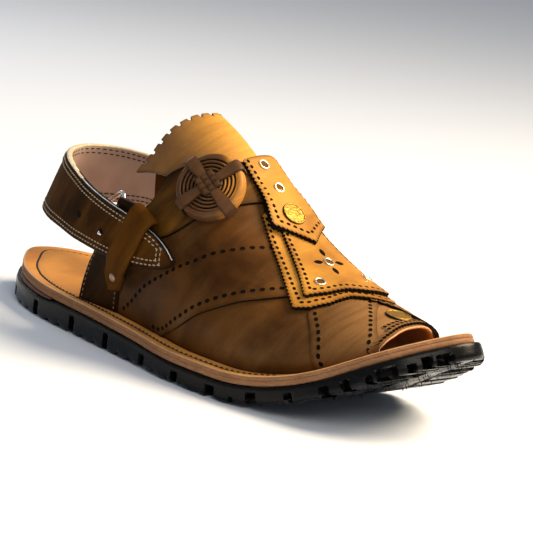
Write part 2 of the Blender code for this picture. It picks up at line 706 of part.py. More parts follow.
def strap_back(x, outer_side):
    """y of the heel strap's inner face at x, on the outer or the inner side of the foot."""
    turn = int(np.argmin(column(HEEL_STRAP, 0)))
    rows = HEEL_STRAP[:turn + 1][::-1] if outer_side else HEEL_STRAP[turn:]
    return read(rows, 1, x) + (STRAP_THICK if outer_side else -STRAP_THICK)


def make_ear(name, table, outer_side, finish):
    """An upright strip that stands on the insole and lies behind one end of the heel strap."""
    out = -1.0 if outer_side else 1.0
    height = np.linspace(0, table[-1][0], 9)[:, None]
    across = np.linspace(0, 1, 7)[None, :]
    rear, front = (read(table, k, height) for k in (1, 2))
    x = rear + (front - rear) * across
    foot = EAR_FOOT[0 if outer_side else 1]
    strap = strap_back(x, outer_side) - out * EAR_CLEAR
    y = foot + (strap - foot) * np.sin(np.pi / 2 * np.minimum(height / EAR_LEAN_TO, 1))
    z = bed(x) + GAP + height
    outside = np.stack(np.broadcast_arrays(x, y, z), axis=-1)
    inside = outside - np.array((0.0, out * EAR_THICK, 0.0))
    sheet(name, outside, inside, finish)


def make_keeper(finish):
    """The loop over the strap; its outer end runs down to a point riveted to the ear."""
    up = np.array((math.sin(KEEPER_LEAN), 0.0, math.cos(KEEPER_LEAN)))
    across = np.array((math.cos(KEEPER_LEAN), 0.0, -math.sin(KEEPER_LEAN)))
    centre = np.array((KEEPER_AT[0], 0.0, KEEPER_AT[1]))
    # place up the keeper's axis, y of its inner face, half width as a share of the whole
    outline = (
        (KEEPER_TIP, -42.6, 0.05), (KEEPER_TIP + 6.0, -43.4, 0.5), (-18.0, -45.8, 0.5), (-13.0, -48.0, 0.5),
        (-7.0, -48.4, 0.5), (2.0, -48.6, 0.5), (11.0, -48.8, 0.5), (KEEPER_TOP - 2.0, -48.3, 0.5),
        (KEEPER_TOP, -46.5, 0.5), (KEEPER_TOP - 0.5, -44.2, 0.5),
    )
    spine = np.array([centre + up * a + (0.0, y, 0.0) for a, y, _ in outline])
    ahead = np.gradient(spine, axis=0)
    ahead /= np.linalg.norm(ahead, axis=1)[:, None]
    out = np.cross(ahead, across)
    out /= np.linalg.norm(out, axis=1)[:, None]
    if out[3, 1] > 0:
        out = -out
    side = across[None, :] * (column(outline, 2) * KEEPER_WIDTH)[:, None]
    shares = np.array((-1.0, -0.5, 0.0, 0.5, 1.0))
    inner = spine[:, None] + side[:, None] * shares[None, :, None]
    outer = inner + KEEPER_THICK * out[:, None]
    sheet("keeper", outer, inner, finish)
    low, high = 1, 2
    share = (KEEPER_RIVET - outline[low][0]) / (outline[high][0] - outline[low][0])
    axis = out[low] + (out[high] - out[low]) * share
    axis /= np.linalg.norm(axis)
    foot = spine[low] + (spine[high] - spine[low]) * share + axis * (KEEPER_THICK + GAP)
    return foot, axis


def make_buckle(finish):
    """A rounded frame of chrome wire behind the strap; its top corner shows over the strap."""
    along, across = BUCKLE_SIZE[0] / 2 - BUCKLE_CORNER, BUCKLE_SIZE[1] / 2 - BUCKLE_CORNER
    plan = []
    for corner, (sx, sz) in enumerate(((1, 1), (-1, 1), (-1, -1), (1, -1))):
        for a in np.linspace(0, math.pi / 2, 5) + corner * math.pi / 2:
            plan.append((sx * along + BUCKLE_CORNER * math.cos(a), sz * across + BUCKLE_CORNER * math.sin(a)))
    level = np.array((*BUCKLE_PLAN, 0.0))
    ahead = math.cos(BUCKLE_TURN) * level + (0.0, 0.0, math.sin(BUCKLE_TURN))
    flat = np.array((-BUCKLE_PLAN[1], BUCKLE_PLAN[0], 0.0))
    up = np.cross(ahead, flat)
    centres = [np.array(BUCKLE_AT) + ahead * a + up * b for a, b in plan]
    tube("buckle", centres, BUCKLE_WIRE, 8, flat, finish)


def make_heel_fittings(finish):
    """Heel strap, both ears, keeper, rivet and buckle."""
    make_heel_strap(finish["strap"])
    make_ear("ear_outer", EAR_OUTER, True, finish["upper"])
    make_ear("ear_inner", EAR_INNER, False, finish["upper"])
    rivet_seat, rivet_axis = make_keeper(finish["upper"])
    radius, height = 2.4, 0.8
    profile = ((0.0, 0.0), (radius, 0.0), (radius * 0.8, height * 0.7), (0.0, height))
    turned("ear_rivet", profile, rivet_seat, rivet_axis, 14, finish["steel"])
    make_buckle(finish["chrome"])


# ---- small metal on the panels --------------------------------------------------------------------
def seat_on(x, girth, lift):
    """Seat point and normal of a fitting on the last."""
    place = (np.array([x]), np.array([girth]))
    return lifted(*place, np.array([lift]))[0], last_normal(*place)[0]


def make_badge(name, x, girth, lift, finish):
    """A thin domed disc."""
    seat, axis = seat_on(x, girth, lift)
    rim_height = 0.35
    profile = ((0.0, 0.0), (BADGE_RADIUS, 0.0), (BADGE_RADIUS, rim_height),
               (BADGE_RADIUS * 0.7, rim_height + 0.6 * (BADGE_HEIGHT - rim_height)), (0.0, BADGE_HEIGHT))
    turned(name, profile, seat, axis, 20, finish)


def make_eyelet(name, x, girth, lift, finish):
    """A rolled ring."""
    seat, axis = seat_on(x, girth, lift + EYELET_ROLL)
    first = np.cross((0.0, 1.0, 0.0), axis)
    first /= np.linalg.norm(first)
    second = np.cross(axis, first)
    turn = np.linspace(0, 2 * np.pi, 12, endpoint=False)[:, None]
    centres = seat + EYELET_RADIUS * (np.cos(turn) * first + np.sin(turn) * second)
    tube(name, centres, EYELET_ROLL, 5, axis, finish)


def make_fittings(finish):
    """Two badges and five eyelets."""
    clear = 0.5
    middle_top = 2 * GAP + 2 * OVERLAY
    make_badge("toe_badge", 255.0, 1.2, clear, finish["brass"])
    make_badge("flap_badge", 182.0, -4.4, float(flap_lift(182.0)) + FLAP + clear, finish["brass"])
    for name, x, girth in (("eyelet_flap_rear", 159.0, -4.2), ("eyelet_flap_front", 170.0, -3.8)):
        make_eyelet(name, x, girth, float(flap_lift(x)) + FLAP + clear, finish["steel"])
    for name, x, girth in (("eyelet_middle", 209.0, -2.6), ("eyelet_outer", 220.0, -17.5),
                           ("eyelet_inner", 220.0, 13.0)):
        make_eyelet(name, x, girth, middle_top + GAP, finish["steel"])


# ---- everything ---------------------------------------------------------------------------------
def main():
    """Build the sandal."""
    for old in list(bpy.data.objects):
        bpy.data.objects.remove(old)
    set_frame()
    finish = {
        "rubber": material("tyre rubber", (0.012, 0.013, 0.016), 0.45),
        "lift": material("heel lift", (0.16, 0.045, 0.03), 0.6),
        "sole_leather": material("sole leather", (0.36, 0.19, 0.10), 0.6),
        "insole": material("insole leather", (0.60, 0.27, 0.08), 0.5),
        "upper": material("upper leather", (0.13, 0.06, 0.025), 0.45),
        "panel": material("panel leather", (0.42, 0.19, 0.04), 0.45),
        "strap": material("strap leather", (0.15, 0.07, 0.03), 0.45),
        "brass": material("brass", (0.65, 0.45, 0.15), 0.3, 1.0),
        "steel": material("eyelet metal", (0.80, 0.76, 0.66), 0.25, 1.0),
        "chrome": material("chrome", (0.85, 0.85, 0.87), 0.12, 1.0),
    }
    make_sole(finish)
    make_upper(finish["upper"])
    make_overlays(finish)
    make_medallion(finish)
    make_heel_fittings(finish)
    make_fittings(finish)


main()
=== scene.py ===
"""Looks of an open-toe leather sandal on a tyre-rubber sole: right foot, buckled sling at the heel.

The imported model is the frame. Every soft piece is modelled again here as what it is: cut leather
with pinked edges, punched rows, thread, a coiled medallion, and moulded tread. Sizes are in
millimetres in the maker's frame: x from the back of the heel to the toe, +y to the inner side of
the foot, z over the floor. A Bench turns them into metres in the row's frame.
"""

from __future__ import annotations

import logging
import math
from dataclasses import dataclass, field
from enum import Enum
from functools import cache
from typing import Sequence

import bmesh
import bpy
import numpy as np
from mathutils import Matrix, Vector

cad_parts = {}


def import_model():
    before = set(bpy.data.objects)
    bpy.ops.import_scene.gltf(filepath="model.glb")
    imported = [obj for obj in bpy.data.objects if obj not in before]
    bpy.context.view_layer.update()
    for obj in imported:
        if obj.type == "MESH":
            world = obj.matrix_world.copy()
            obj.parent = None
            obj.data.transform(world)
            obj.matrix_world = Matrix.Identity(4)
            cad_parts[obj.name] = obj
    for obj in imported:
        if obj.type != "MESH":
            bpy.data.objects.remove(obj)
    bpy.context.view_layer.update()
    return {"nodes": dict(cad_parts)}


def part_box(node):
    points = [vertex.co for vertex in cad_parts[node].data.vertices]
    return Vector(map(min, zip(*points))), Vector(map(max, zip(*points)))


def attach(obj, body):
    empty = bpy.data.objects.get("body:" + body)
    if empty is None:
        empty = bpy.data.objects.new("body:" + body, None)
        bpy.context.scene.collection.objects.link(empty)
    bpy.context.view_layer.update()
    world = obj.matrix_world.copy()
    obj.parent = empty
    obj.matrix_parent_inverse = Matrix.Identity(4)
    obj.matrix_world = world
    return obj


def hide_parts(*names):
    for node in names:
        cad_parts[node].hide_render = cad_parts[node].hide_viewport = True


Array = np.ndarray
Number = Array | float
Rows = Sequence[Sequence[float]]
Triple = tuple[float, float, float]
Colour = Triple
Scale = float | Triple
Socket = bpy.types.NodeSocket

LOG = logging.getLogger("sandal")
MM = 0.001
BODY = "root"
EDGE_REACH = 10.0        # farther than this from a cut edge, in millimetres, all leather is alike


# ---- curves -------------------------------------------------------------------------------------
def column(table: Rows, index: int) -> Array:
    """One column of a table as an array."""
    return np.array([row[index] for row in table], dtype=float)


def through(xs: Array, ys: Array, x: Array) -> Array:
    """A piecewise cubic through the rows (xs, ys) with no overshoot between them.

    Each inner slope is the weighted harmonic mean of the two chords, or zero where they differ in
    sign; between rows the curve is the Hermite cubic of the two values and the two slopes.

    Args:
        xs: Positions, rising.
        ys: Values there.
        x: Where the curve is wanted.

    Returns:
        The curve's values, held constant beyond both ends.
    """
    step = np.diff(xs)
    rise = np.diff(ys) / step
    slope = np.empty(len(xs))
    slope[0], slope[-1] = rise[0], rise[-1]
    before, after = rise[:-1], rise[1:]
    weight_before, weight_after = 2 * step[1:] + step[:-1], step[1:] + 2 * step[:-1]
    same_way = before * after > 0
    share = weight_before / np.where(same_way, before, 1.0) + weight_after / np.where(same_way, after, 1.0)
    slope[1:-1] = np.where(same_way, (weight_before + weight_after) / share, 0.0)
    x = np.clip(x, xs[0], xs[-1])
    k = np.clip(np.searchsorted(xs, x, side="right") - 1, 0, len(xs) - 2)
    t = (x - xs[k]) / step[k]
    return (
        (1 + 2 * t) * (1 - t) ** 2 * ys[k]
        + t * (1 - t) ** 2 * step[k] * slope[k]
        + t * t * (3 - 2 * t) * ys[k + 1]
        + t * t * (t - 1) * step[k] * slope[k + 1]
    )


def read(table: Rows, index: int, x: Number) -> Array:
    """The smooth value of a table's column at x, where column 0 is the position."""
    return through(column(table, 0), column(table, index), np.asarray(x, dtype=float))


def straight(table: Rows, x: Array) -> Array:
    """A table's second column at x, its rows joined by straight lines and held beyond both ends."""
    return np.interp(x, column(table, 0), column(table, 1))


def between(start: Number, end: Number, share: Number) -> Number:
    """The value at a share of the way from start to end."""
    return start + (end - start) * share


def shares(rows: int, columns: int) -> tuple[Array, Array]:
    """Even shares from 0 to 1 down the rows of a grid, and across its columns."""
    return np.linspace(0, 1, rows)[:, None], np.linspace(0, 1, columns)[None, :]


def circle(count: int) -> Array:
    """Even turns once round, in radians, the first at 0."""
    return np.linspace(0, 2 * np.pi, count, endpoint=False)


def ease(t: Array) -> Array:
    """0 to 1 with a soft start and end: t squared times (3 - 2t)."""
    t = np.clip(t, 0.0, 1.0)
    return t * t * (3 - 2 * t)


def unit(vectors: Array) -> Array:
    """Vectors at length one; a zero vector stays zero."""
    length = np.linalg.norm(vectors, axis=-1)[..., None]
    return vectors / np.where(length > 1e-12, length, 1.0)


def tri(t: Array) -> Array:
    """A triangle wave of period 1 between 0 and 1."""
    return 1 - np.abs(2 * (t - np.floor(t)) - 1)


def notch(t: Array, open_share: float) -> Array:
    """A square cut of period 1 with short slopes: 1 inside the cut, 0 on the tooth."""
    off = np.abs(t - np.floor(t) - 0.5)
    return np.clip((open_share / 2 - off) / 0.05 + 0.5, 0, 1)


def cumulative(points: Array) -> Array:
    """Length along a line of points, from its first."""
    return np.concatenate([[0.0], np.cumsum(np.linalg.norm(np.diff(points, axis=0), axis=1))])


def knots_of(table: Rows) -> Array:
    """Length along the places that a table's first two columns give."""
    return cumulative(np.stack([column(table, 0), column(table, 1)], axis=1))


def at_lengths(points: Array, run: Array, stops: Array) -> Array:
    """Places at the lengths stops along a line of points whose own lengths are run."""
    return np.stack([np.interp(stops, run, points[:, k]) for k in range(3)], axis=1)


# ---- the shoe's own forms -----------------------------------------------------------------------
@dataclass(frozen=True)
class SoleForm:
    """The sole's outline, its layers' heights, and the bend at the ball.

    Seen from above the rim is a smooth curve through OUTLINE's stations, which are spread by the
    angle whose cosine is 1 - 2x/length, so that heel and toe turn round. In front of the ball the
    whole sole bends up on a circle about a point over it, and runs straight beyond that.
    """

    length: float = 293.5
    gap: float = 0.3
    leather: float = 2.3
    rubber: float = 9.4
    skive: float = 1.4
    skive_from: float = 203.0
    skive_to: float = 222.0
    waist_rise: float = 0.9
    waist_from: float = 118.0
    waist_to: float = 190.0
    spring_from: float = 200.6
    spring_radius: float = 113.0
    spring_angle: float = math.radians(31.4)
    end_proud: float = 1.4
    stack: float = 14.6
    # station / length, outer edge, inner edge
    outline: Rows = (
        (0.000, 6, 6), (0.030, -9.6, 25), (0.100, -26.4, 36.6), (0.200, -37.4, 37.8),
        (0.330, -43.3, 35.4), (0.470, -49.4, 34), (0.600, -54.8, 40.6), (0.690, -53.5, 47),
        (0.780, -48.2, 48.2), (0.870, -38.5, 43.7), (0.940, -25.5, 34.2), (0.985, -6.1, 20.7),
        (1.000, 9.6, 9.6),
    )
    # x, height of the insole's top as far as the ball, thickness of the heel lift
    bed_rows: Rows = (
        (0, 21.3, 4.6), (18, 20, 3.9), (27, 19.3, 3.2), (42, 18.3, 2.3), (60, 17.7, 1.7), (77, 17.4, 0),
        (100, 17.2, 0), (118, 16.8, 0), (135, 16.3, 0), (160, 15.2, 0), (185, 14.7, 0),
        (200.6, 14.6, 0),
    )
    proud_rows: Rows = ((0, 1.8), (35, 1.2), (60, 0.6), (250, 0.6), (280, 1.3), (293.5, 1.5))

    def rim(self, x: Array) -> tuple[Array, Array]:
        """Outer and inner edge of the leather at x.

        Args:
            x: Distance from the back of the heel.

        Returns:
            The two values of y.
        """
        turn = np.arccos(np.clip(1 - 2 * np.asarray(x, dtype=float) / self.length, -1, 1))
        stations = np.arccos(1 - 2 * column(self.outline, 0))
        return (through(stations, column(self.outline, 1), turn),
                through(stations, column(self.outline, 2), turn))

    def proud(self, x: Array) -> Array:
        """How far the rubber stands out of the leather at x."""
        return straight(self.proud_rows, x)

    def heel_rise(self, x: Array) -> Array:
        """How much higher than at the ball the leather lies at x."""
        return read(self.bed_rows, 1, x) - self.stack

    def tread_top(self, x: Array) -> Array:
        """Height of the rubber's top, under the leather or under the heel lift."""
        return self.rubber + self.heel_rise(x) - read(self.bed_rows, 2, x)

    def tread_bottom(self, x: Array) -> Array:
        """Height of the rubber's underside: a squared sine hump at the waist, thinner at the toe.

        Args:
            x: Distance from the back of the heel.

        Returns:
            The heights, as if the sole were flat.
        """
        share = np.clip((x - self.waist_from) / (self.waist_to - self.waist_from), 0, 1)
        thinner = ease((x - self.skive_from) / (self.skive_to - self.skive_from))
        return self.waist_rise * np.sin(np.pi * share) ** 2 + self.skive * thinner

    def place(self, x: Array, y: Number, height: Array) -> Array:
        """Points of the sole: x as on the insole, height square to the bent underside.

        In front of the ball the angle is that of a point on the circle of the insole's top; height
        moves the point along the circle's spoke.

        Args:
            x: Distance from the back of the heel.
            y: Distance towards the inner side.
            height: Height over the floor, as if the sole were flat.

        Returns:
            Points, with x, y and z along the last axis.
        """
        x = np.asarray(x, dtype=float)
        steepest = math.sin(self.spring_angle)
        angle = np.arcsin(np.clip((x - self.spring_from) / self.spring_radius, 0, steepest))
        beyond = np.maximum(x - self.spring_from - self.spring_radius * steepest, 0)
        centre = self.spring_radius + self.stack
        spoke = centre - height
        bent = x > self.spring_from
        along = np.where(bent, self.spring_from + spoke * np.sin(angle), x) + beyond
        up = np.where(bent, centre - spoke * np.cos(angle), height)
        up = up + beyond * math.tan(self.spring_angle)
        return np.stack(np.broadcast_arrays(along, y, up), axis=-1)

    def on_rubber(self, x: Array, y: Array, height: Array) -> Array:
        """The same for the rubber, which is longer than the leather at both ends."""
        return self.place(x * (1 + 2 * self.end_proud / self.length) - self.end_proud, y, height)

    def bed(self, x: Array) -> Array:
        """Height of the insole's top over the floor at x."""
        return self.place(x, 0.0, self.stack + self.heel_rise(x))[..., 2]

    def side(self, turn: Array, inset: Array) -> tuple[Array, Array]:
        """A line round the sole at a distance inside the leather's edge.

        Args:
            turn: 0 at the back of the heel, 1 at the toe over the outer side, 2 back at the heel.
            inset: Distance inwards along the outline's own normal, negative outwards.

        Returns:
            x and y of the line in the flat outline.
        """
        def edge(t: Array) -> tuple[Array, Array]:
            """The edge itself: x is half the length times one less the cosine of the turn.

            Args:
                t: The turn.

            Returns:
                x and y.
            """
            t = np.mod(t, 2.0)
            x = self.length * (1 - np.cos(np.pi * t)) / 2
            outer, inner = self.rim(x)
            return x, np.where(t <= 1.0, outer, inner)

        x, y = edge(turn)
        step = 2e-3
        (x1, y1), (x0, y0) = edge(turn + step), edge(turn - step)
        ahead = unit(np.stack([x1 - x0, y1 - y0], axis=-1))
        return x - ahead[..., 1] * inset, y + ahead[..., 0] * inset


@dataclass
class Last:
    """The last: the surface that carries the upper and everything on it.

    A section across it at x is half a superellipse on each side of the ridge, whose lowest part
    tucks in to the insole. Places on it are given as x and the girth from the ridge, negative to
    the outer side.
    """

    sole: SoleForm
    ridge_y: float = 6.0
    tuck_share: float = 0.32
    # x, how far inside the sole's edge the wall stands, outer and inner side
    inset: Rows = ((0, 9.5, 9.5), (215, 9.5, 9.5), (240, 9.5, 11.5), (293.5, 9.5, 18))
    # x, height of the ridge, roundness, tuck
    rows: Rows = (
        (96, 124.9, 2.2, 4), (110, 123.2, 2.2, 4), (130, 116.2, 2.2, 4), (148, 106, 2.2, 4),
        (168, 90.4, 2.2, 4), (180, 79.4, 2.2, 4.5), (192, 70.2, 2.2, 5), (205, 63.1, 2.2, 5),
        (218, 57.5, 2.2, 5), (232, 53.5, 2.2, 4.5), (246, 51.2, 2.2, 3.5), (258, 49.5, 2.2, 2),
        (272, 48.9, 2.2, 1),
    )
    stations: Array = field(init=False)
    girths: Array = field(init=False)
    turn_at: Array = field(init=False)
    foot: Array = field(init=False)

    def __post_init__(self) -> None:
        """Tabulate the section's turn for every whole x and half millimetre of girth."""
        self.stations = np.arange(92.0, 276.1, 1.0)
        self.girths = np.arange(-170.0, 170.1, 0.5)
        half = 240
        turns = np.linspace(-np.pi / 2, np.pi / 2, 2 * half + 1)
        y, z = self.section(self.stations[:, None], turns[None, :])
        run = np.cumsum(np.hypot(np.diff(y, axis=1), np.diff(z, axis=1)), axis=1)
        run = np.concatenate([np.zeros((len(self.stations), 1)), run], axis=1)
        run = run - run[:, half][:, None]
        self.foot = run[:, [0, -1]]
        self.turn_at = np.array([np.interp(self.girths, line, turns) for line in run])

    def section(self, x: Array, turn: Array) -> tuple[Array, Array]:
        """y and z of the section at x; turn is -90 degrees at the outer foot and 0 on the ridge.

        Args:
            x: Distance from the back of the heel.
            turn: Turn round the section, in radians.

        Returns:
            y and z.
        """
        crest, roundness, tuck = (read(self.rows, k, x) for k in (1, 2, 3))
        outer, inner = self.foot_line(x)
        floor = self.sole.bed(x) + self.sole.gap
        sine, cosine = np.sin(turn), np.clip(np.cos(turn), 0, 1)
        side = np.sign(sine)
        height = cosine ** (2 / roundness)
        reach = np.abs(sine) ** (2 / roundness)
        half = np.where(side < 0, self.ridge_y - outer, inner - self.ridge_y) + tuck
        tucked = tuck * np.clip(1 - height / self.tuck_share, 0, 1) ** 2
        return self.ridge_y + side * (half * reach - tucked), floor + (crest - floor) * height

    def foot_line(self, x: Array) -> tuple[Array, Array]:
        """Outer and inner y where the wall stands on the insole.

        Args:
            x: Distance from the back of the heel.

        Returns:
            The two values of y.
        """
        outer, inner = self.sole.rim(x)
        outer_next, inner_next = self.sole.rim(x + 1.0)
        return (outer + read(self.inset, 1, x) * np.sqrt(1 + (outer_next - outer) ** 2),
                inner - read(self.inset, 2, x) * np.sqrt(1 + (inner_next - inner) ** 2))

    def feet(self, x: Array) -> tuple[Array, Array]:
        """Girth of the outer foot, negative, and of the inner foot at x."""
        return (np.interp(x, self.stations, self.foot[:, 0]),
                np.interp(x, self.stations, self.foot[:, 1]))

    def girth(self, x: Array, share: Array) -> Array:
        """Girth at a share of the way from the ridge to the foot, -1 outer to 1 inner."""
        outer, inner = self.feet(x)
        return np.where(share < 0, -share * outer, share * inner)

    def point(self, x: Array, girth: Array) -> Array:
        """Points of the last, by bilinear reading of the table of turns.

        Args:
            x: Distance from the back of the heel.
            girth: Girth from the ridge.

        Returns:
            The points, x, y and z along the last axis.
        """
        x, girth = (np.asarray(v, dtype=float) for v in np.broadcast_arrays(x, girth))
        row = np.clip(x - self.stations[0], 0, len(self.stations) - 1.001)
        col = np.clip((girth - self.girths[0]) * 2, 0, len(self.girths) - 1.001)
        i, j = row.astype(int), col.astype(int)
        a, b = row - i, col - j
        turn = ((1 - a) * ((1 - b) * self.turn_at[i, j] + b * self.turn_at[i, j + 1])
                + a * ((1 - b) * self.turn_at[i + 1, j] + b * self.turn_at[i + 1, j + 1]))
        y, z = self.section(x, turn)
        return np.stack([x, y, z], axis=-1)

    def normal(self, x: Array, girth: Array) -> Array:
        """Outward normals, from central differences along x and along the girth.

        Args:
            x: Distance from the back of the heel.
            girth: Girth from the ridge.

        Returns:
            Vectors of length one.
        """
        outer, inner = self.feet(x)
        low, high = np.maximum(girth - 0.6, outer), np.minimum(girth + 0.6, inner)
        along = self.point(x + 0.6, girth) - self.point(x - 0.6, girth)
        across = self.point(x, np.maximum(high, low + 0.3)) - self.point(x, low)
        return unit(np.cross(along, across))

    def lifted(self, x: Array, girth: Array, lift: Number) -> Array:
        """Points that stand off the last by lift."""
        x, girth, lift = (np.asarray(v, dtype=float) for v in np.broadcast_arrays(x, girth, lift))
        return self.point(x, girth) + self.normal(x, girth) * lift[..., None]


# ---- the bench: meshes in the row's frame ---------------------------------------------------------
@dataclass
class Bench:
    """Turns working millimetres into the row's metres."""

    sole: SoleForm
    shift: Array = field(init=False)

    def __post_init__(self) -> None:
        """The midsole's box says where the back of the heel and the outer edge lie."""
        low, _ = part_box("midsole")
        x = np.linspace(0.0, self.sole.length, 2001)
        outer, _ = self.sole.rim(x)
        self.shift = np.array((low.x, low.y - outer.min() * MM, 0.0))

    def metres(self, points: Array) -> Array:
        """Working millimetres to metres in the row's frame."""
        return np.asarray(points, dtype=float) * MM + self.shift


@dataclass(frozen=True)
class Stud:
    """A small shape that is repeated along a line: points on (along, across, up), faces, finishes."""

    points: Array
    faces: Array
    finish: Array


def grid_faces(rows: int, columns: int, wrap: bool = False) -> Array:
    """Quads of a grid of points; wrap joins the last column to the first.

    Args:
        rows: Rows of points.
        columns: Points in a row.
        wrap: Whether to close the rows.

    Returns:
        Four point numbers for each quad.
    """
    i, j = np.meshgrid(np.arange(rows - 1), np.arange(columns if wrap else columns - 1), indexing="ij")
    k = (j + 1) % columns
    return np.stack([i * columns + j, i * columns + k, (i + 1) * columns + k, (i + 1) * columns + j],
                    axis=-1).reshape(-1, 4)


def repeated(faces: Array, points: int, count: int) -> Array:
    """The faces of count shapes that follow one another, each of so many points."""
    return (faces[None] + (np.arange(count) * points)[:, None, None]).reshape(-1, 4)


@dataclass
class Shell:
    """Collects surfaces of one piece: points, quads, a finish number and the distance to the edge."""

    bench: Bench
    points: list[Array] = field(default_factory=list)
    faces: list[Array] = field(default_factory=list)
    finish: list[Array] = field(default_factory=list)
    edge: list[Array] = field(default_factory=list)
    count: int = 0

    def add(self, points: Array, faces: Array, finish: Array | int = 0, edge: Number = EDGE_REACH) -> None:
        """Add loose points and their quads.

        Args:
            points: (n, 3) working millimetres.
            faces: (m, 4) indices into them.
            finish: Finish number of each face, or of all.
            edge: Distance in millimetres of each point from the piece's cut edge.
        """
        points = np.asarray(points, dtype=float).reshape(-1, 3)
        self.points.append(points)
        self.faces.append(faces + self.count)
        self.finish.append(np.broadcast_to(np.asarray(finish, dtype=int), (len(faces),)))
        self.edge.append(np.broadcast_to(np.asarray(edge, dtype=float).reshape(-1), (len(points),)))
        self.count += len(points)

    def grid(self, points: Array, finish: Array | int = 0, wrap: bool = False,
             edge: Number = EDGE_REACH) -> None:
        """Add a grid of points, (rows, columns, 3)."""
        rows, columns = points.shape[:2]
        self.add(points, grid_faces(rows, columns, wrap), finish, edge)

    def slab(self, front: Array, back: Array, finishes: tuple[int, Array | int, int] = (0, 1, 0),
             bulge: float = 0.3, rim_rows: int = 3) -> None:
        """Add a closed slab: both faces and a rim that swells by a half sine between them.

        Args:
            front: The face that shows, (rows, columns, 3).
            back: The hidden face, of the same shape.
            finishes: Finish numbers of the front, the rim (or of its parts in border's order)
                and the back.
            bulge: How far the rim stands out half way down.
            rim_rows: Rows of points within the rim.
        """
        rows, columns = front.shape[:2]
        self.grid(front, finishes[0], edge=edge_distance(front))
        self.grid(back[::-1], finishes[2], edge=edge_distance(back[::-1]))
        i, j = border(rows, columns)
        near = front[np.clip(i, 1, rows - 2), np.clip(j, 1, columns - 2)]
        line, under = front[i, j], back[i, j]
        ahead = unit(np.roll(line, -1, axis=0) - np.roll(line, 1, axis=0))
        out = line - near
        out = unit(out - ahead * np.sum(out * ahead, axis=1)[:, None])
        share = np.linspace(0, 1, rim_rows + 2)[:, None, None]
        ring = line[None] * (1 - share) + under[None] * share + out[None] * bulge * np.sin(np.pi * share)
        rim = np.tile(np.broadcast_to(finishes[1], (len(line),)), rim_rows + 1)
        self.grid(ring, rim, wrap=True, edge=0.0)

    def cap(self, ring: Array, rest: float, finish: int = 0) -> None:
        """Close a ring of points by a fan, with one more ring at rest of the way out of its middle."""
        middle = np.broadcast_to(ring.mean(axis=0), ring.shape)
        self.grid(np.stack([ring, ring * rest + middle * (1 - rest), middle]), finish, wrap=True, edge=0.0)

    def tube(self, profiles: Array, edge: Number = EDGE_REACH) -> None:
        """Add a loft with capped ends: closed profiles, (stations, points, 3).

        Args:
            profiles: The profiles along the loft.
            edge: Distance of each point from a cut edge.
        """
        self.grid(profiles, wrap=True, edge=edge)
        self.cap(profiles[0], 0.3)
        self.cap(profiles[-1], 0.3)

    def studs(self, stud: Stud, centres: Array, along: Array, normal: Array) -> None:
        """Repeat a small shape at each centre, turned to its own line and surface.

        Args:
            stud: The shape.
            centres: Its places, (n, 3).
            along: Direction of its length at each.
            normal: Direction off the surface at each.
        """
        along = unit(along - normal * np.sum(along * normal, axis=1)[:, None])
        across = np.cross(normal, along)
        x, y, z = (stud.points[None, :, k:k + 1] for k in range(3))
        points = centres[:, None] + x * along[:, None] + y * across[:, None] + z * normal[:, None]
        self.add(points, repeated(stud.faces, len(stud.points), len(centres)),
                 np.tile(stud.finish, len(centres)))

    def build(self, name: str, finishes: Sequence[bpy.types.Material], sharp: float,
              merge: float) -> bpy.types.Object:
        """Make the mesh: doubles merged, faces turned outwards, smooth up to the sharp angle.

        Args:
            name: Plain name of the piece.
            finishes: Materials in the order of the finish numbers.
            sharp: Edges that turn by more degrees than this stay crisp.
            merge: Points nearer than this, in metres, become one.

        Returns:
            The object, at the origin, with its place in its mesh.
        """
        mesh = bpy.data.meshes.new(name)
        faces = np.concatenate(self.faces)
        mesh.from_pydata(self.bench.metres(np.concatenate(self.points)), [], faces.tolist())
        mesh.polygons.foreach_set("material_index", np.concatenate(self.finish).astype(np.int32))
        attribute = mesh.attributes.new("edge_burnish_and_groove_shade", "FLOAT", "POINT")
        near = np.clip(np.concatenate(self.edge) / EDGE_REACH, 0, 1)
        attribute.data.foreach_set("value", near.astype(np.float32))
        shape = bmesh.new()
        shape.from_mesh(mesh)
        bmesh.ops.remove_doubles(shape, verts=shape.verts, dist=merge)
        bmesh.ops.dissolve_degenerate(shape, edges=shape.edges, dist=merge / 10)
        loose = [corner for corner in shape.verts if not corner.link_faces]
        bmesh.ops.delete(shape, geom=loose, context="VERTS")
        bmesh.ops.recalc_face_normals(shape, faces=shape.faces)
        shape.to_mesh(mesh)
        shape.free()
        mesh.shade_smooth()
        mesh.set_sharp_from_angle(angle=math.radians(sharp))
        for finish in finishes:
            mesh.materials.append(finish)
        return placed(name, mesh)


def placed(name: str, data: bpy.types.ID) -> bpy.types.Object:
    """A new object of the scene.

    Args:
        name: Its name.
        data: Its mesh, light or camera.

    Returns:
        The object, at the origin.
    """
    made = bpy.data.objects.new(name, data)
    bpy.context.scene.collection.objects.link(made)
    return made


def border(rows: int, columns: int) -> tuple[Array, Array]:
    """Row and column numbers once round the border of a grid.

    Args:
        rows: Rows of the grid.
        columns: Columns of the grid.

    Returns:
        The two lists of numbers.
    """
    top, right = np.arange(columns - 1), np.arange(rows - 1)
    i = np.concatenate([np.zeros_like(top), right, np.full_like(top, rows - 1), right[::-1] + 1])
    j = np.concatenate([top, np.full_like(right, columns - 1), top[::-1] + 1, np.zeros_like(right)])
    return i, j


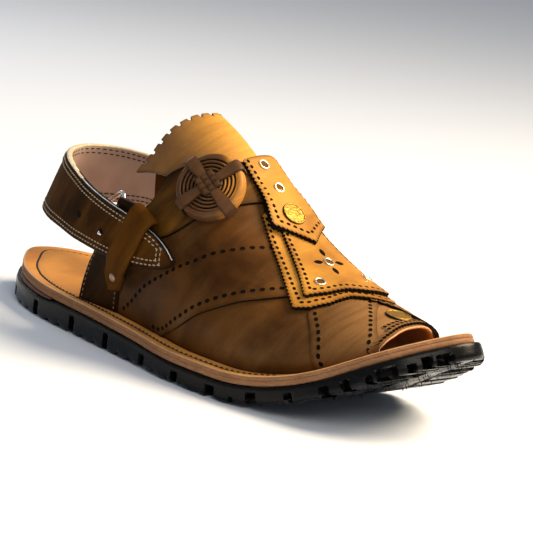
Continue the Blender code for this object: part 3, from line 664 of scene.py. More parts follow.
def edge_distance(points: Array) -> Array:
    """Distance of each grid point from the nearest of the grid's four sides, along the grid.

    Args:
        points: The grid, (rows, columns, 3).

    Returns:
        The distances, (rows, columns).
    """
    nearest = np.full(points.shape[:2], np.inf)
    for axis in (0, 1):
        run = np.cumsum(np.linalg.norm(np.diff(points, axis=axis), axis=-1), axis=axis)
        pad = [(0, 0), (0, 0)]
        pad[axis] = (1, 0)
        run = np.pad(run, pad)
        total = run[-1:, :] if axis == 0 else run[:, -1:]
        nearest = np.minimum(nearest, np.minimum(run, total - run))
    return nearest


@dataclass(frozen=True)
class Trail:
    """Places at an even pitch along a line on the last."""

    x: Array
    centres: Array
    along: Array
    normal: Array

    @staticmethod
    def on(last: Last, rows: Rows, pitch: float, lift: float, free: float = 0.0,
           cornered: bool = False) -> "Trail":
        """Walk along a line on the last.

        Args:
            last: The surface.
            rows: x and girth of the line's own points, in order.
            pitch: Distance between places.
            lift: How far over the last the places lie.
            free: Length left free at both ends.
            cornered: Join the rows by straight lines and not by a curve.

        Returns:
            The places.
        """
        knots = knots_of(rows)
        fine = np.linspace(0, knots[-1], 800)
        draw = np.interp if cornered else (lambda t, xs, ys: through(xs, ys, t))
        line = [draw(fine, knots, column(rows, k)) for k in (0, 1)]
        run = cumulative(last.lifted(*line, lift))
        count = max(int(round((run[-1] - 2 * free) / pitch)), 1)
        stops = np.linspace(free, run[-1] - free, count + 1)

        def at(lengths: Array) -> list[Array]:
            """x and girth at lengths along the line."""
            return [np.interp(lengths, run, values) for values in line]

        x, girth = at(stops)
        ahead = last.lifted(*at(stops + 0.5), lift) - last.lifted(*at(stops - 0.5), lift)
        return Trail(x, last.lifted(x, girth, lift), unit(ahead), last.normal(x, girth))


def punched(long: float, wide: float, scales: Sequence[float] = (1.32, 1.14, 0.97, 0.55, 0.0),
            count: int = 10, power: float = 1.0) -> Stud:
    """A punched cut: a low pressed lip round a floor painted near black as the shade inside the hole.

    Its outline is the cosine along it and the sine, raised to a power, across it: power 1 gives an
    oval, more gives a lens between two arcs.

    Args:
        long: Length of the cut.
        wide: Width of the cut.
        scales: Size of the five rings, from the lip's foot to the middle of the floor.
        count: Points round it.
        power: Power of the sine.

    Returns:
        The shape; finish 0 is leather, 1 the hole's floor with painted shade.
    """
    turn = circle(count)
    x, y = np.cos(turn), np.sign(np.sin(turn)) * np.abs(np.sin(turn)) ** power
    rings = [np.stack([scale * long / 2 * x, scale * wide / 2 * y, np.full(count, height)], axis=-1)
             for scale, height in zip(scales, (-0.12, 0.07, 0.055, 0.03, 0.025))]
    return Stud(np.concatenate(rings), grid_faces(len(rings), count, wrap=True),
                np.repeat([0, 0, 1, 1], count))


def stitch(length: float, thick: float) -> Stud:
    """One stitch: a thread that rises out of the leather and dips back in at both ends.

    Args:
        length: Its length.
        thick: The thread's thickness.

    Returns:
        The shape.
    """
    way = np.linspace(0, 1, 7)
    turn = circle(6)
    radius = thick / 2 * np.sin(np.pi * np.clip(way, 0.04, 0.96)) ** 0.35
    middle = thick * (np.sin(np.pi * way) ** 0.6 * 0.62 - 0.3)
    points = np.stack([
        np.broadcast_to(((way - 0.5) * length)[:, None], (7, 6)),
        radius[:, None] * np.cos(turn)[None, :],
        middle[:, None] + radius[:, None] * np.sin(turn)[None, :],
    ], axis=-1).reshape(-1, 3)
    faces = grid_faces(7, 6, wrap=True)
    return Stud(points, faces, np.zeros(len(faces), dtype=int))


# ---- finishes -----------------------------------------------------------------------------------
class Nodes:
    """A short way to write a material's nodes."""

    def __init__(self, name: str) -> None:
        """Start from the plain Principled material.

        Args:
            name: Plain name of the material.
        """
        self.material = bpy.data.materials.new(name)
        self.material.use_nodes = True
        self.tree = self.material.node_tree
        self.shader = self.tree.nodes["Principled BSDF"]
        place = self.tree.nodes.new("ShaderNodeTexCoord")
        self.place = place.outputs["Object"]

    def node(self, kind: str, settings: dict | None = None, **inputs: object) -> bpy.types.Node:
        """Add a node: settings are its properties, inputs are values or sockets by socket name.

        Args:
            kind: Type of the node.
            settings: Its properties.
            inputs: Its inputs.

        Returns:
            The node.
        """
        made = self.tree.nodes.new(kind)
        for key, value in (settings or {}).items():
            setattr(made, key, value)
        for key, value in inputs.items():
            self.feed(made.inputs[key], value)
        return made

    def feed(self, socket: Socket, value: object) -> None:
        """Link a socket to an input, or set its value.

        Args:
            socket: The input.
            value: What it gets.
        """
        if isinstance(value, Socket):
            self.tree.links.new(value, socket)
        else:
            socket.default_value = value

    def stretched(self, scale: Scale, turn: Triple = (0.0, 0.0, 0.0)) -> Socket:
        """Object coordinates in millimetres times scale, turned first.

        Args:
            scale: Features to the millimetre, one or three.
            turn: Angles about x, y and z.

        Returns:
            The socket of the result.
        """
        mapping = self.node("ShaderNodeMapping", {"vector_type": "TEXTURE"}, Vector=self.place)
        mapping.inputs["Rotation"].default_value = turn
        scale = scale if isinstance(scale, tuple) else (scale,) * 3
        mapping.inputs["Scale"].default_value = tuple(MM / s for s in scale)
        return mapping.outputs["Vector"]

    def noise(self, scale: Scale, detail: float, rough: float = 0.55, distort: float = 0.0,
              turn: Triple = (0.0, 0.0, 0.0)) -> Socket:
        """Noise with scale features to the millimetre, stretched along turned directions."""
        return self.node("ShaderNodeTexNoise", None, Vector=self.stretched(scale, turn), Scale=1.0,
                         Detail=detail, Roughness=rough, Distortion=distort).outputs["Fac"]

    def cells(self, scale: float, feature: str) -> Socket:
        """Distance from the middle of the nearest of scale cells to the millimetre."""
        return self.node("ShaderNodeTexVoronoi", {"feature": feature}, Vector=self.stretched(scale),
                         Scale=1.0).outputs["Distance"]

    def ramp(self, value: Socket, low: float, high: float,
             to_low: float = 0.0, to_high: float = 1.0) -> Socket:
        """Stretch a value from low..high to to_low..to_high, held at both ends.

        Args:
            value: The value.
            low: Its lower bound.
            high: Its upper bound.
            to_low: What the lower bound becomes.
            to_high: What the upper bound becomes.

        Returns:
            The socket of the result.
        """
        made = self.node("ShaderNodeMapRange", {"clamp": True}, Value=value)
        for key, number in (("From Min", low), ("From Max", high), ("To Min", to_low), ("To Max", to_high)):
            made.inputs[key].default_value = number
        return made.outputs["Result"]

    def sums(self, operation: str, a: object, b: object) -> Socket:
        """One arithmetic step.

        Args:
            operation: Name of the step.
            a: First value.
            b: Second value.

        Returns:
            The socket of the result.
        """
        made = self.node("ShaderNodeMath", {"operation": operation})
        self.feed(made.inputs[0], a)
        self.feed(made.inputs[1], b)
        return made.outputs["Value"]

    def times(self, a: object, b: object) -> Socket:
        """The product of two values."""
        return self.sums("MULTIPLY", a, b)

    def weigh(self, a: Socket, by_a: float, b: Socket, by_b: float) -> Socket:
        """The sum of two values, each times its weight."""
        return self.sums("ADD", self.times(a, by_a), self.times(b, by_b))

    def mix(self, share: object, a: object, b: object) -> Socket:
        """Blend two colours by a share.

        Args:
            share: How much of the second.
            a: First colour.
            b: Second colour.

        Returns:
            The socket of the result.
        """
        made = self.node("ShaderNodeMix", {"data_type": "RGBA", "blend_type": "MIX"})
        self.feed(made.inputs["Factor"], share)
        for socket, value in ((made.inputs[6], a), (made.inputs[7], b)):
            self.feed(socket, (*value, 1.0) if isinstance(value, tuple) else value)
        return made.outputs[2]

    def along(self, direction: Sequence[float]) -> Socket:
        """Distance in millimetres along a direction through the object's coordinates.

        Args:
            direction: The direction, of any length.

        Returns:
            The socket of the result.
        """
        made = self.node("ShaderNodeVectorMath", {"operation": "DOT_PRODUCT"})
        self.feed(made.inputs[0], self.place)
        made.inputs[1].default_value = tuple(float(v) / MM for v in unit(np.array(direction)))
        return made.outputs["Value"]

    def attribute(self, name: str) -> Socket:
        """A value that the mesh carries."""
        return self.node("ShaderNodeAttribute", {"attribute_name": name}).outputs["Fac"]

    def set(self, **values: Socket | float | Colour) -> bpy.types.Material:
        """Feed or set the shader's own sockets, underscores standing for spaces; the material.

        Args:
            values: Sockets, numbers or colours by the name of the input.

        Returns:
            The material.
        """
        for key, value in values.items():
            value = (*value, 1.0) if isinstance(value, tuple) else value
            self.feed(self.shader.inputs[key.replace("_", " ")], value)
        return self.material

    def raised(self, height: Socket, depth: float) -> Socket:
        """The normal of a surface that is raised by up to depth millimetres."""
        return self.node("ShaderNodeBump", None, Height=height, Strength=0.6,
                         Distance=depth * MM).outputs["Normal"]


@dataclass(frozen=True)
class Leather:
    """Oiled pull-up leather: mottled, with brushed streaks, pores, and burnish by its cut edge; painted
    light on one side where asked, and painted shade in the coil's groove.
    """

    name: str
    dark: Colour
    base: Colour
    light: Colour
    streaks: float = 0.5
    roughness: float = 0.42
    grain: float = 0.12
    burnish_and_groove_shade: float = 0.45
    sweep: Triple = (0.0, 0.55, 0.25)      # lean of the brush strokes
    # painted light: the direction in which the leather turns lighter, as on its lit side, and where that
    # starts and ends, in millimetres
    painted_light: tuple[float, float, float, float, float] | None = None
    shine: float = 0.10

    def make(self) -> bpy.types.Material:
        """Mottle mixes dark and base, streaks add light, pores and creases raise the surface. With
        painted_light, the colour and its streaks turn lighter along a direction: painted light.

        Returns:
            The material.
        """
        n = Nodes(self.name)
        mottle = n.noise(0.03, 4.0, 0.55, 0.5)
        broad = n.noise((0.045, 0.012, 0.014), 3.0, 0.5, 0.9, self.sweep)
        strokes = n.noise((0.30, 0.026, 0.034), 4.0, 0.6, 0.7, self.sweep)
        fine = n.noise(1.1, 6.0, 0.65)
        pores = n.cells(1.5, "F1")
        colour = n.mix(n.ramp(mottle, 0.34, 0.64), self.dark, self.base)
        brushed = n.times(n.ramp(broad, 0.42, 0.68), n.ramp(strokes, 0.34, 0.70, 0.48, 1.0))
        streaks: Socket | float = self.streaks
        # Painted light: along the painted_light direction the colour and its streaks turn lighter, as on the
        # side that the key lamp lights.
        if self.painted_light:
            shade = n.ramp(n.along(self.painted_light[:3]), self.painted_light[3], self.painted_light[4])
            brushed = n.sums("MAXIMUM", n.times(brushed, n.ramp(shade, 0.0, 1.0, 0.55, 1.0)),
                             n.times(shade, n.ramp(strokes, 0.3, 0.7, 0.72, 1.3)))
            streaks = n.ramp(shade, 0.0, 1.0, self.streaks, 0.9)
        colour = n.mix(n.times(brushed, streaks), colour, self.light)
        colour = n.mix(n.ramp(fine, 0.3, 0.75, 0.0, 0.25), colour, self.dark)
        # Darker near a cut edge, as burnish; on the coil the same value darkens the spiral groove as painted
        # shade.
        near = n.ramp(n.attribute("edge_burnish_and_groove_shade"), 0.0, 0.2, self.burnish_and_groove_shade, 0.0)
        colour = n.mix(near, colour, tuple(c * 0.35 for c in self.dark))
        rough = n.ramp(n.weigh(fine, 0.4, mottle, 0.6), 0.3, 0.7, self.roughness - 0.07,
                       self.roughness + 0.12)
        return n.set(Base_Color=colour, Roughness=rough, Specular_IOR_Level=self.shine,
                     Normal=n.raised(n.weigh(pores, 0.5, fine, 0.7), self.grain))


@dataclass(frozen=True)
class CutEdge:
    """The raw or burnished edge of leather: fibres that lie along the layer."""

    name: str
    dark: Colour
    base: Colour
    roughness: float = 0.75
    shine: float = 0.3

    def make(self) -> bpy.types.Material:
        """Noise that is fine across the layer and longer along it colours and raises the edge.

        Returns:
            The material.
        """
        n = Nodes(self.name)
        fibres = n.noise((0.5, 0.5, 2.6), 5.0, 0.7, 0.3)
        patches = n.noise(0.08, 3.0)
        colour = n.mix(n.ramp(fibres, 0.3, 0.7), self.dark, self.base)
        colour = n.mix(n.ramp(patches, 0.4, 0.7, 0.0, 0.35), colour, tuple(c * 0.7 for c in self.dark))
        rough = n.ramp(fibres, 0.3, 0.7, self.roughness - 0.1, self.roughness + 0.1)
        return n.set(Base_Color=colour, Roughness=rough, Specular_IOR_Level=self.shine,
                     Normal=n.raised(fibres, 0.15))


@dataclass(frozen=True)
class Rubber:
    """Moulded tyre rubber: near black, waxy, with fine grain and faint scuffs."""

    name: str
    base: Colour
    scuff: Colour
    roughness: float = 0.3

    def make(self) -> bpy.types.Material:
        """Scuffs are stretched noise; grain is fine noise under a soft coat.

        Returns:
            The material.
        """
        n = Nodes(self.name)
        scuffs = n.noise((0.06, 0.2, 0.35), 6.0, 0.7, 0.5)
        grain = n.noise(1.6, 4.0, 0.6)
        colour = n.mix(n.ramp(scuffs, 0.5, 0.8, 0.0, 0.6), self.base, self.scuff)
        rough = n.ramp(n.weigh(scuffs, 0.6, grain, 0.4), 0.3, 0.7, self.roughness - 0.08,
                       self.roughness + 0.2)
        return n.set(Base_Color=colour, Roughness=rough, Specular_IOR_Level=0.14,
                     Normal=n.raised(n.weigh(scuffs, 0.6, grain, 0.3), 0.2))


@dataclass(frozen=True)
class Metal:
    """Plated or cast metal with brushed roughness and, for cast pieces, a hammered face."""

    name: str
    base: Colour
    worn: Colour
    roughness: float = 0.22
    hammered: float = 0.0

    def make(self) -> bpy.types.Material:
        """Tarnish is soft noise; hammering is a cell pattern that raises the face.

        Returns:
            The material.
        """
        n = Nodes(self.name)
        tarnish = n.noise(0.35, 5.0, 0.65)
        height = n.weigh(n.cells(0.9, "SMOOTH_F1"), self.hammered, tarnish, 0.15)
        return n.set(Base_Color=n.mix(n.ramp(tarnish, 0.45, 0.75, 0.0, 0.7), self.base, self.worn),
                     Roughness=n.ramp(tarnish, 0.3, 0.7, self.roughness, self.roughness + 0.18),
                     Metallic=1.0, Normal=n.raised(height, 0.25))


@dataclass(frozen=True)
class Thread:
    """Waxed thread with its twist."""

    name: str
    base: Colour
    dirt: Colour

    def make(self) -> bpy.types.Material:
        """Fine slanting noise gives the twist, broad noise the dirt.

        Returns:
            The material.
        """
        n = Nodes(self.name)
        twist = n.noise((2.5, 2.5, 5.0), 3.0, turn=(0.6, 0.6, 0.6))
        soil = n.noise(0.12, 3.0)
        colour = n.mix(n.ramp(soil, 0.4, 0.7, 0.0, 0.6), self.base, self.dirt)
        return n.set(Base_Color=n.mix(n.ramp(twist, 0.35, 0.65, 0.0, 0.3), colour, self.dirt),
                     Roughness=n.ramp(twist, 0.3, 0.7, 0.55, 0.8), Normal=n.raised(twist, 0.12))


class Stuff(Enum):
    """Every finish on the sandal."""

    # UPPER, COIL and TONGUE carry painted light: they turn lighter towards the key lamp's side.
    UPPER = Leather("brown pull-up leather", (0.027, 0.0105, 0.003), (0.094, 0.0375, 0.008),
                    (0.290, 0.150, 0.056), 0.6, painted_light=(0.75, 0.65, 0.1, 34.0, 92.0), shine=0.05)
    COIL = Leather("coil leather", (0.042, 0.018, 0.008), (0.140, 0.066, 0.030), (0.42, 0.185, 0.034), 0.2,
                   0.38, 0.08, 0.99, painted_light=(0.75, 0.65, 0.1, 1.5, 6.0), shine=0.14)
    PLAIT = Leather("plaited strap leather", (0.038, 0.017, 0.009), (0.105, 0.048, 0.021),
                    (0.22, 0.10, 0.035), 0.4, 0.42, 0.1, 0.75, shine=0.12)
    # The cross band's leather is darker than the upper's: painted shade over the band.
    SHADED_BAND = Leather("cross band leather darkened by painted shade", (0.009, 0.0038, 0.0012), (0.030, 0.0125, 0.003),
                   (0.30, 0.128, 0.018), 0.7, shine=0.05)
    EAR = Leather("ear leather", (0.008, 0.0032, 0.001), (0.020, 0.0080, 0.002), (0.10, 0.040, 0.006),
                  0.5, 0.5, 0.14, shine=0.02)
    TONGUE = Leather("tongue leather", (0.085, 0.040, 0.016), (0.195, 0.092, 0.029), (0.66, 0.325, 0.050),
                     0.55, painted_light=(0.35, 0.85, 0.4, 14.0, 48.0), shine=0.14)
    PANEL = Leather("golden panel leather", (0.25, 0.105, 0.018), (0.48, 0.222, 0.033), (0.68, 0.37, 0.062),
                    0.5, 0.38, 0.1, 0.8)
    STRAP = Leather("sling leather", (0.015, 0.0053, 0.0012), (0.052, 0.0195, 0.0035), (0.20, 0.080, 0.012),
                    0.55, 0.5, 0.14, shine=0.006)
    INSOLE = Leather("insole leather", (0.40, 0.165, 0.040), (0.62, 0.285, 0.070), (0.74, 0.38, 0.105),
                     0.4, 0.48, 0.08, 0.15)
    LINING = Leather("lining", (0.31, 0.215, 0.175), (0.44, 0.32, 0.265), (0.54, 0.41, 0.33), 0.3, 0.62,
                     0.05, 0.1)
    INSIDE = Leather("inside of the upper", (0.035, 0.016, 0.009), (0.07, 0.033, 0.016),
                     (0.10, 0.048, 0.022), 0.3, 0.6, 0.08, 0.3)
    TOE_INSIDE = Leather("tan inside of the vamp", (0.30, 0.145, 0.072), (0.50, 0.27, 0.14),
                         (0.62, 0.36, 0.20), 0.3, 0.6, 0.08, 0.0)
    # Also carried under the lifted flap and middle panel as painted shadow.
    BLACK_EDGE = CutEdge("burnished black edge and painted shadow", (0.004, 0.003, 0.0025), (0.013, 0.0075, 0.005), 0.5, 0.08)
    BROWN_EDGE = CutEdge("brown cut edge", (0.013, 0.006, 0.003), (0.042, 0.018, 0.008), 0.6, 0.15)
    PALE_EDGE = CutEdge("pale cut edge", (0.42, 0.31, 0.19), (0.80, 0.66, 0.46), 0.6)
    TOE_EDGE = CutEdge("tan cut edge", (0.44, 0.22, 0.105), (0.66, 0.37, 0.19), 0.6)
    # Painted highlight: a pale bluish line along the crest of the sling's top edge.
    PAINTED_HIGHLIGHT_EDGE = CutEdge("pale bluish edge crest, painted highlight", (0.24, 0.27, 0.31), (0.60, 0.66, 0.74), 0.3)
    SOLE_EDGE = CutEdge("sole edge", (0.17, 0.080, 0.040), (0.36, 0.190, 0.095), 0.7, 0.1)
    SOLE_RIM = CutEdge("skived top rim", (0.46, 0.235, 0.095), (0.66, 0.37, 0.165), 0.6)
    LIFT = CutEdge("heel lift", (0.060, 0.017, 0.010), (0.15, 0.045, 0.026), 0.6)
    TREAD = Rubber("tyre rubber", (0.0020, 0.0022, 0.0028), (0.006, 0.0068, 0.0085), 0.20)
    CHROME = Metal("chrome", (0.80, 0.81, 0.82), (0.50, 0.51, 0.53), 0.1)
    NICKEL = Metal("nickel eyelet", (0.90, 0.83, 0.66), (0.66, 0.56, 0.38), 0.22)
    BRASS = Metal("brass badge", (0.34, 0.205, 0.042), (0.11, 0.058, 0.010), 0.42, 2.2)
    COPPER = Metal("copper rivet", (0.40, 0.26, 0.20), (0.16, 0.09, 0.065), 0.4)
    CREAM_THREAD = Thread("cream thread", (0.44, 0.36, 0.26), (0.20, 0.15, 0.10))
    BROWN_THREAD = Thread("brown thread", (0.30, 0.20, 0.12), (0.12, 0.07, 0.035))
    DARK_THREAD = Thread("dark thread", (0.024, 0.013, 0.008), (0.009, 0.006, 0.004))
    # Floor of each eyelet: leather, darkened as painted shade in the hole.
    DEEP = CutEdge("leather in an eyelet's hole, painted shade", (0.05, 0.021, 0.005), (0.19, 0.085, 0.018), 0.8, 0.05)
    # Near-black floor of punched holes: painted shade inside the hole.
    HOLE_SHADE = CutEdge("punched hole, painted shade", (0.004, 0.003, 0.002), (0.009, 0.006, 0.004), 0.9, 0.03)

    @cache
    def material(self) -> bpy.types.Material:
        """Its material, made once."""
        return self.value.make()


@dataclass
class Maker:
    """What every sub-assembly needs: the bench, the forms, and a way to finish its pieces."""

    bench: Bench
    sole: SoleForm
    last: Last

    def shell(self) -> Shell:
        """An empty shell on this bench."""
        return Shell(self.bench)

    def keep(self, shell: Shell, name: str, slot: str | None, node: str | None, stuffs: Sequence[Stuff],
             sharp: float = 50.0, merge: float = 1e-6) -> None:
        """Make a shell's mesh with its finishes, and put the piece on the shoe.

        Args:
            shell: The piece's surfaces.
            name: Its plain name.
            slot: Not used; the record's material slot, or None for thread and other small stuff.
            node: The CAD node that it stands for, or None for an added piece.
            stuffs: Its finishes, in the order of the finish numbers.
            sharp: Edges that turn by more degrees than this stay crisp.
            merge: Points nearer than this, in metres, become one.
        """
        piece = shell.build(name, [stuff.material() for stuff in stuffs], sharp, merge)
        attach(piece, BODY)
        if node:
            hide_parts(node)
        LOG.info("%s: %d faces", piece.name, len(piece.data.polygons))


# ---- the sole -----------------------------------------------------------------------------------
@dataclass
class SoleUnit:
    """Tread, heel lift, midsole and insole.

    A layer is a profile carried round the outline: each row of the profile is an inset from the
    edge and a height, and the middle of each face is a ladder from the outer to the inner side.
    """

    maker: Maker
    stations: int = 720
    tread_stations: int = 1440
    ladder: int = 9
    # x of the groove, its width, its height up the side as a share of the rubber
    grooves: Rows = (
        (24, 3.4, 0.62), (54, 3.4, 0.66), (88, 3.4, 0.66), (118.5, 3.6, 0.66), (150, 3.6, 0.62),
        (176.5, 3.4, 0.60), (199.5, 4.6, 0.62), (211, 1.2, 0.25), (221, 4.2, 0.60), (238, 2.6, 0.55),
        (252.4, 3, 0.58), (260.5, 2.6, 0.55), (269, 2, 0.42), (275, 6, 0.60), (282, 1.6, 0.42),
        (285.7, 1.8, 0.62), (289.5, 3, 0.55),
    )
    groove_depth: float = 6.0
    cross_depth: float = 5.2            # of the grooves underneath, and of the two beside the rib
    rib_depth: float = 4.2
    lobe_pitch: float = 10.5
    lobe_height: float = 2.6
    hair_count: int = 60
    # share of the way up the tread's side, how far it stands out there
    side_rows: Rows = (
        (1, -1.2), (0.97, -0.35), (0.9, -0.05), (0.78, 0), (0.68, 0), (0.62, 0), (0.56, 0), (0.48, 0),
        (0.36, 0), (0.22, -0.05), (0.12, -0.2), (0.04, -0.7), (0, -1.5),
    )
    stitch_pitch: float = 3.3
    # x, how far inside the edge the stitch groove runs
    stitch_line: Rows = ((0, 8.6), (14, 8.2), (40, 5.6), (70, 4.4), (293.5, 4.4))
    stitch_end: float = 232.0

    def layer(self, shell: Shell, rows: Sequence[tuple[Number, Array, int]], count: int) -> None:
        """Add a closed layer.

        Args:
            shell: Where it goes.
            rows: From the top's innermost ring round the edge to the bottom's innermost ring: the
                inset, the height at each turn, and the finish of the band that follows.
            count: Stations round the outline, even.
        """
        sole = self.maker.sole
        turn = np.arange(count) * 2.0 / count
        lines = [(*sole.side(turn, inset), height) for inset, height, _ in rows]
        insets = np.stack([np.broadcast_to(inset, turn.shape) for inset, _, _ in rows])
        finish = np.repeat([row[2] for row in rows[:-1]], count)
        shell.grid(np.stack([sole.place(*line) for line in lines]), finish, wrap=True,
                   edge=np.clip(insets, 0, None))
        share = np.linspace(0, 1, self.ladder)[None, :]
        for line, number in ((lines[0], rows[0][2]), (lines[-1], rows[-2][2])):
            shell.grid(sole.place(*self.across(line, share)), number)

    @staticmethod
    def across(line: Sequence[Array], share: Array) -> list[Array]:
        """Grids from the outer half of a line round the sole to its inner half, at each share.

        Args:
            line: x, y and height once round.
            share: Shares of the way across, (1, n).

        Returns:
            x, y and height of the grid.
        """
        count = len(line[0])
        near = np.arange(count // 2 + 1)
        far = (count - near) % count
        return [values[near][:, None] * (1 - share) + values[far][:, None] * share for values in line]

    def make_insole(self) -> None:
        """The insole: skived top rim, and a stitch groove as a half sine dip 0.5 mm deep, painted with the
        dark inside finish as painted shade.
        """
        maker, sole = self.maker, self.maker.sole
        turn = np.arange(self.stations) * 2.0 / self.stations
        x, _ = sole.side(turn, 0.0)
        top = sole.stack + sole.heel_rise(x)
        low = top - sole.leather
        line = straight(self.stitch_line, x)
        dip = 0.5 * ease((self.stitch_end + 6 - x) / 12)
        # The groove's two bands take finish 3, the dark inside finish: painted shade in the groove.
        rows = [(14.0, top, 0), (11.0, top, 0), (line + 1.0, top, 0), (line + 0.55, top - dip * 0.5, 3),
                (line, top - dip, 3), (line - 0.55, top - dip * 0.5, 0), (line - 1.0, top, 0),
                (2.4, top, 0), (1.1, top - 0.04, 1), (0.45, top - 0.18, 1), (0.1, top - 0.5, 2),
                (0.0, top - 0.9, 2), (0.0, low + 0.45, 2), (0.05, low + 0.25, 2),
                (0.15, low + 0.05, 2), (0.9, low, 2), (14.0, low, 2)]
        shell = maker.shell()
        self.layer(shell, rows, self.stations)
        maker.keep(shell, "insole_board", "insole", "insole",
                   (Stuff.INSOLE, Stuff.SOLE_RIM, Stuff.SOLE_EDGE, Stuff.INSIDE), 60)
        self.stitch_insole()

    def stitch_insole(self) -> None:
        """Dark stitches that lie in the insole's groove, as far as the ball on both sides."""
        maker, sole = self.maker, self.maker.sole
        turn = np.linspace(-0.72, 0.72, 3001)
        x, _ = sole.side(turn, 0.0)
        flat_x, flat_y = sole.side(turn, straight(self.stitch_line, x))
        points = sole.place(flat_x, flat_y, sole.stack + sole.heel_rise(flat_x) - 0.32)
        points = points[flat_x < self.stitch_end]
        run = cumulative(points)
        stops = np.arange(2.0, run[-1] - 2.0, self.stitch_pitch)
        before, place, after = (at_lengths(points, run, stops + d) for d in (-0.5, 0.0, 0.5))
        shell = maker.shell()
        shell.studs(stitch(2.6, 1.15), place, after - before, np.broadcast_to((0.0, 0.0, 1.0), place.shape))
        maker.keep(shell, "insole_stitching", None, None, (Stuff.DARK_THREAD,))

    def make_midsole(self) -> None:
        """The midsole, a hair inside the insole where the seam between them shows."""
        maker, sole = self.maker, self.maker.sole
        turn = np.arange(self.stations) * 2.0 / self.stations
        x, _ = sole.side(turn, 0.0)
        low = sole.rubber + sole.gap + sole.heel_rise(x)
        top = low + sole.leather + sole.gap
        wave = 0.06 * np.sin(x / 7.0) + 0.05 * np.sin(x / 3.1)
        rows = [(12.0, top, 0), (0.4, top, 0), (0.12 + wave, top - 0.08, 0), (0.0 + wave, top - 0.3, 0),
                (0.0 + wave, (top + low) / 2, 0), (0.08 + wave, low + 0.4, 0), (0.4, low + 0.06, 0),
                (1.0, low - 0.1, 0), (12.0, low - 0.1, 0)]
        shell = maker.shell()
        self.layer(shell, rows, self.stations)
        maker.keep(shell, "midsole_board", "sole_leather", "midsole", (Stuff.SOLE_EDGE,), 60)

    def groove_at(self, x: Array) -> tuple[Array, Array]:
        """How open the grooves are at x, 0 to 1, and how far up the side they go, as a share.

        Args:
            x: Distance from the back of the heel.

        Returns:
            The opening and the reach.
        """
        depth, height = np.zeros_like(x), np.full_like(x, 0.5)
        for centre, width, reach in self.grooves:
            opening = np.clip((width / 2 + 0.35 - np.abs(x - centre)) / 0.7, 0, 1)
            height = np.where(opening > depth, reach, height)
            depth = np.maximum(depth, opening)
        return depth, height

    def make_tread(self) -> None:
        """The tread.

        Each point of the side moves in by the groove depth where a groove is open and the point
        lies below the groove's top. The bottom edge between grooves rises and falls in lobes as
        the absolute value of a sine. Underneath, cross grooves run in from both sides to a middle
        rib that has a long groove on each side.
        """
        maker, sole = self.maker, self.maker.sole
        count = self.tread_stations
        turn = np.arange(count) * 2.0 / count
        flat, _ = sole.side(turn, 0.0)
        opening, reach = self.groove_at(flat)
        top, low = sole.tread_top(flat), sole.tread_bottom(flat)
        proud = sole.proud(flat)
        lobes = self.lobe_height * (1 - np.abs(np.sin(np.pi * (flat - 24.0) / self.lobe_pitch)) ** 0.7)
        lobes = lobes * (1 - 0.75 * ease((flat - 170) / 40)) * (1 - opening)
        sides = []
        for share, swell in self.side_rows:
            cut = opening * np.clip((reach + 0.04 - share) / 0.08, 0, 1) * self.groove_depth
            bottom = low + (lobes * (1 - share) ** 3 if share < 0.5 else 0.0)
            lift = np.where(share < 0.15, opening * (reach - 0.05) * (top - low) * (1 - share / 0.15), 0.0)
            sides.append((-proud - swell + cut, bottom + (top - low) * share + lift))
        lines = [(*sole.side(turn, inset), height) for inset, height in [(6.0, top), (2.0, top), *sides]]
        shell = maker.shell()
        shell.grid(np.stack([sole.on_rubber(x, y, height) for x, y, height in lines]), wrap=True)
        self.add_ladders(shell, lines[0], lines[-1])
        maker.keep(shell, "tyre_tread", "rubber", "outsole", (Stuff.TREAD,), 38)
        self.make_vent_hairs()

    def add_ladders(self, shell: Shell, top: Sequence[Array], last_side: Sequence[Array]) -> None:
        """Close the tread's top, and its patterned underside between the two sides.

        Args:
            shell: Where it goes.
            top: x, y and height of the top's inner line.
            last_side: The same for the side's lowest line.
        """
        sole = self.maker.sole
        x, y, height = self.across(top, np.linspace(0, 1, 3)[None, :])
        shell.grid(sole.on_rubber(x, y, height))

        share = np.unique(np.concatenate([np.linspace(0, 1, 17), 0.5 + np.outer(
            (-1, 1), (0.115, 0.135, 0.155, 0.175, 0.195)).ravel()]))[None, :]
        x, y, height = self.across(last_side, share)
        opening, _ = self.groove_at(x)
        off = np.abs(2 * share - 1)
        cross = opening * self.cross_depth * np.clip((off - 0.36) / 0.06, 0, 1)
        long = self.rib_depth * np.clip(1 - np.abs(off - 0.31) / 0.05, 0, 1) ** 0.5
        fade = np.clip(np.sin(np.pi * np.clip(x / sole.length, 0, 1)) * 8, 0, 1)
        patterned = sole.tread_bottom(x) + np.maximum(cross, long) * fade
        rim_blend = np.clip((1 - off) / 0.04, 0, 1)
        shell.grid(sole.on_rubber(x, y, height * (1 - rim_blend) + patterned * rim_blend))

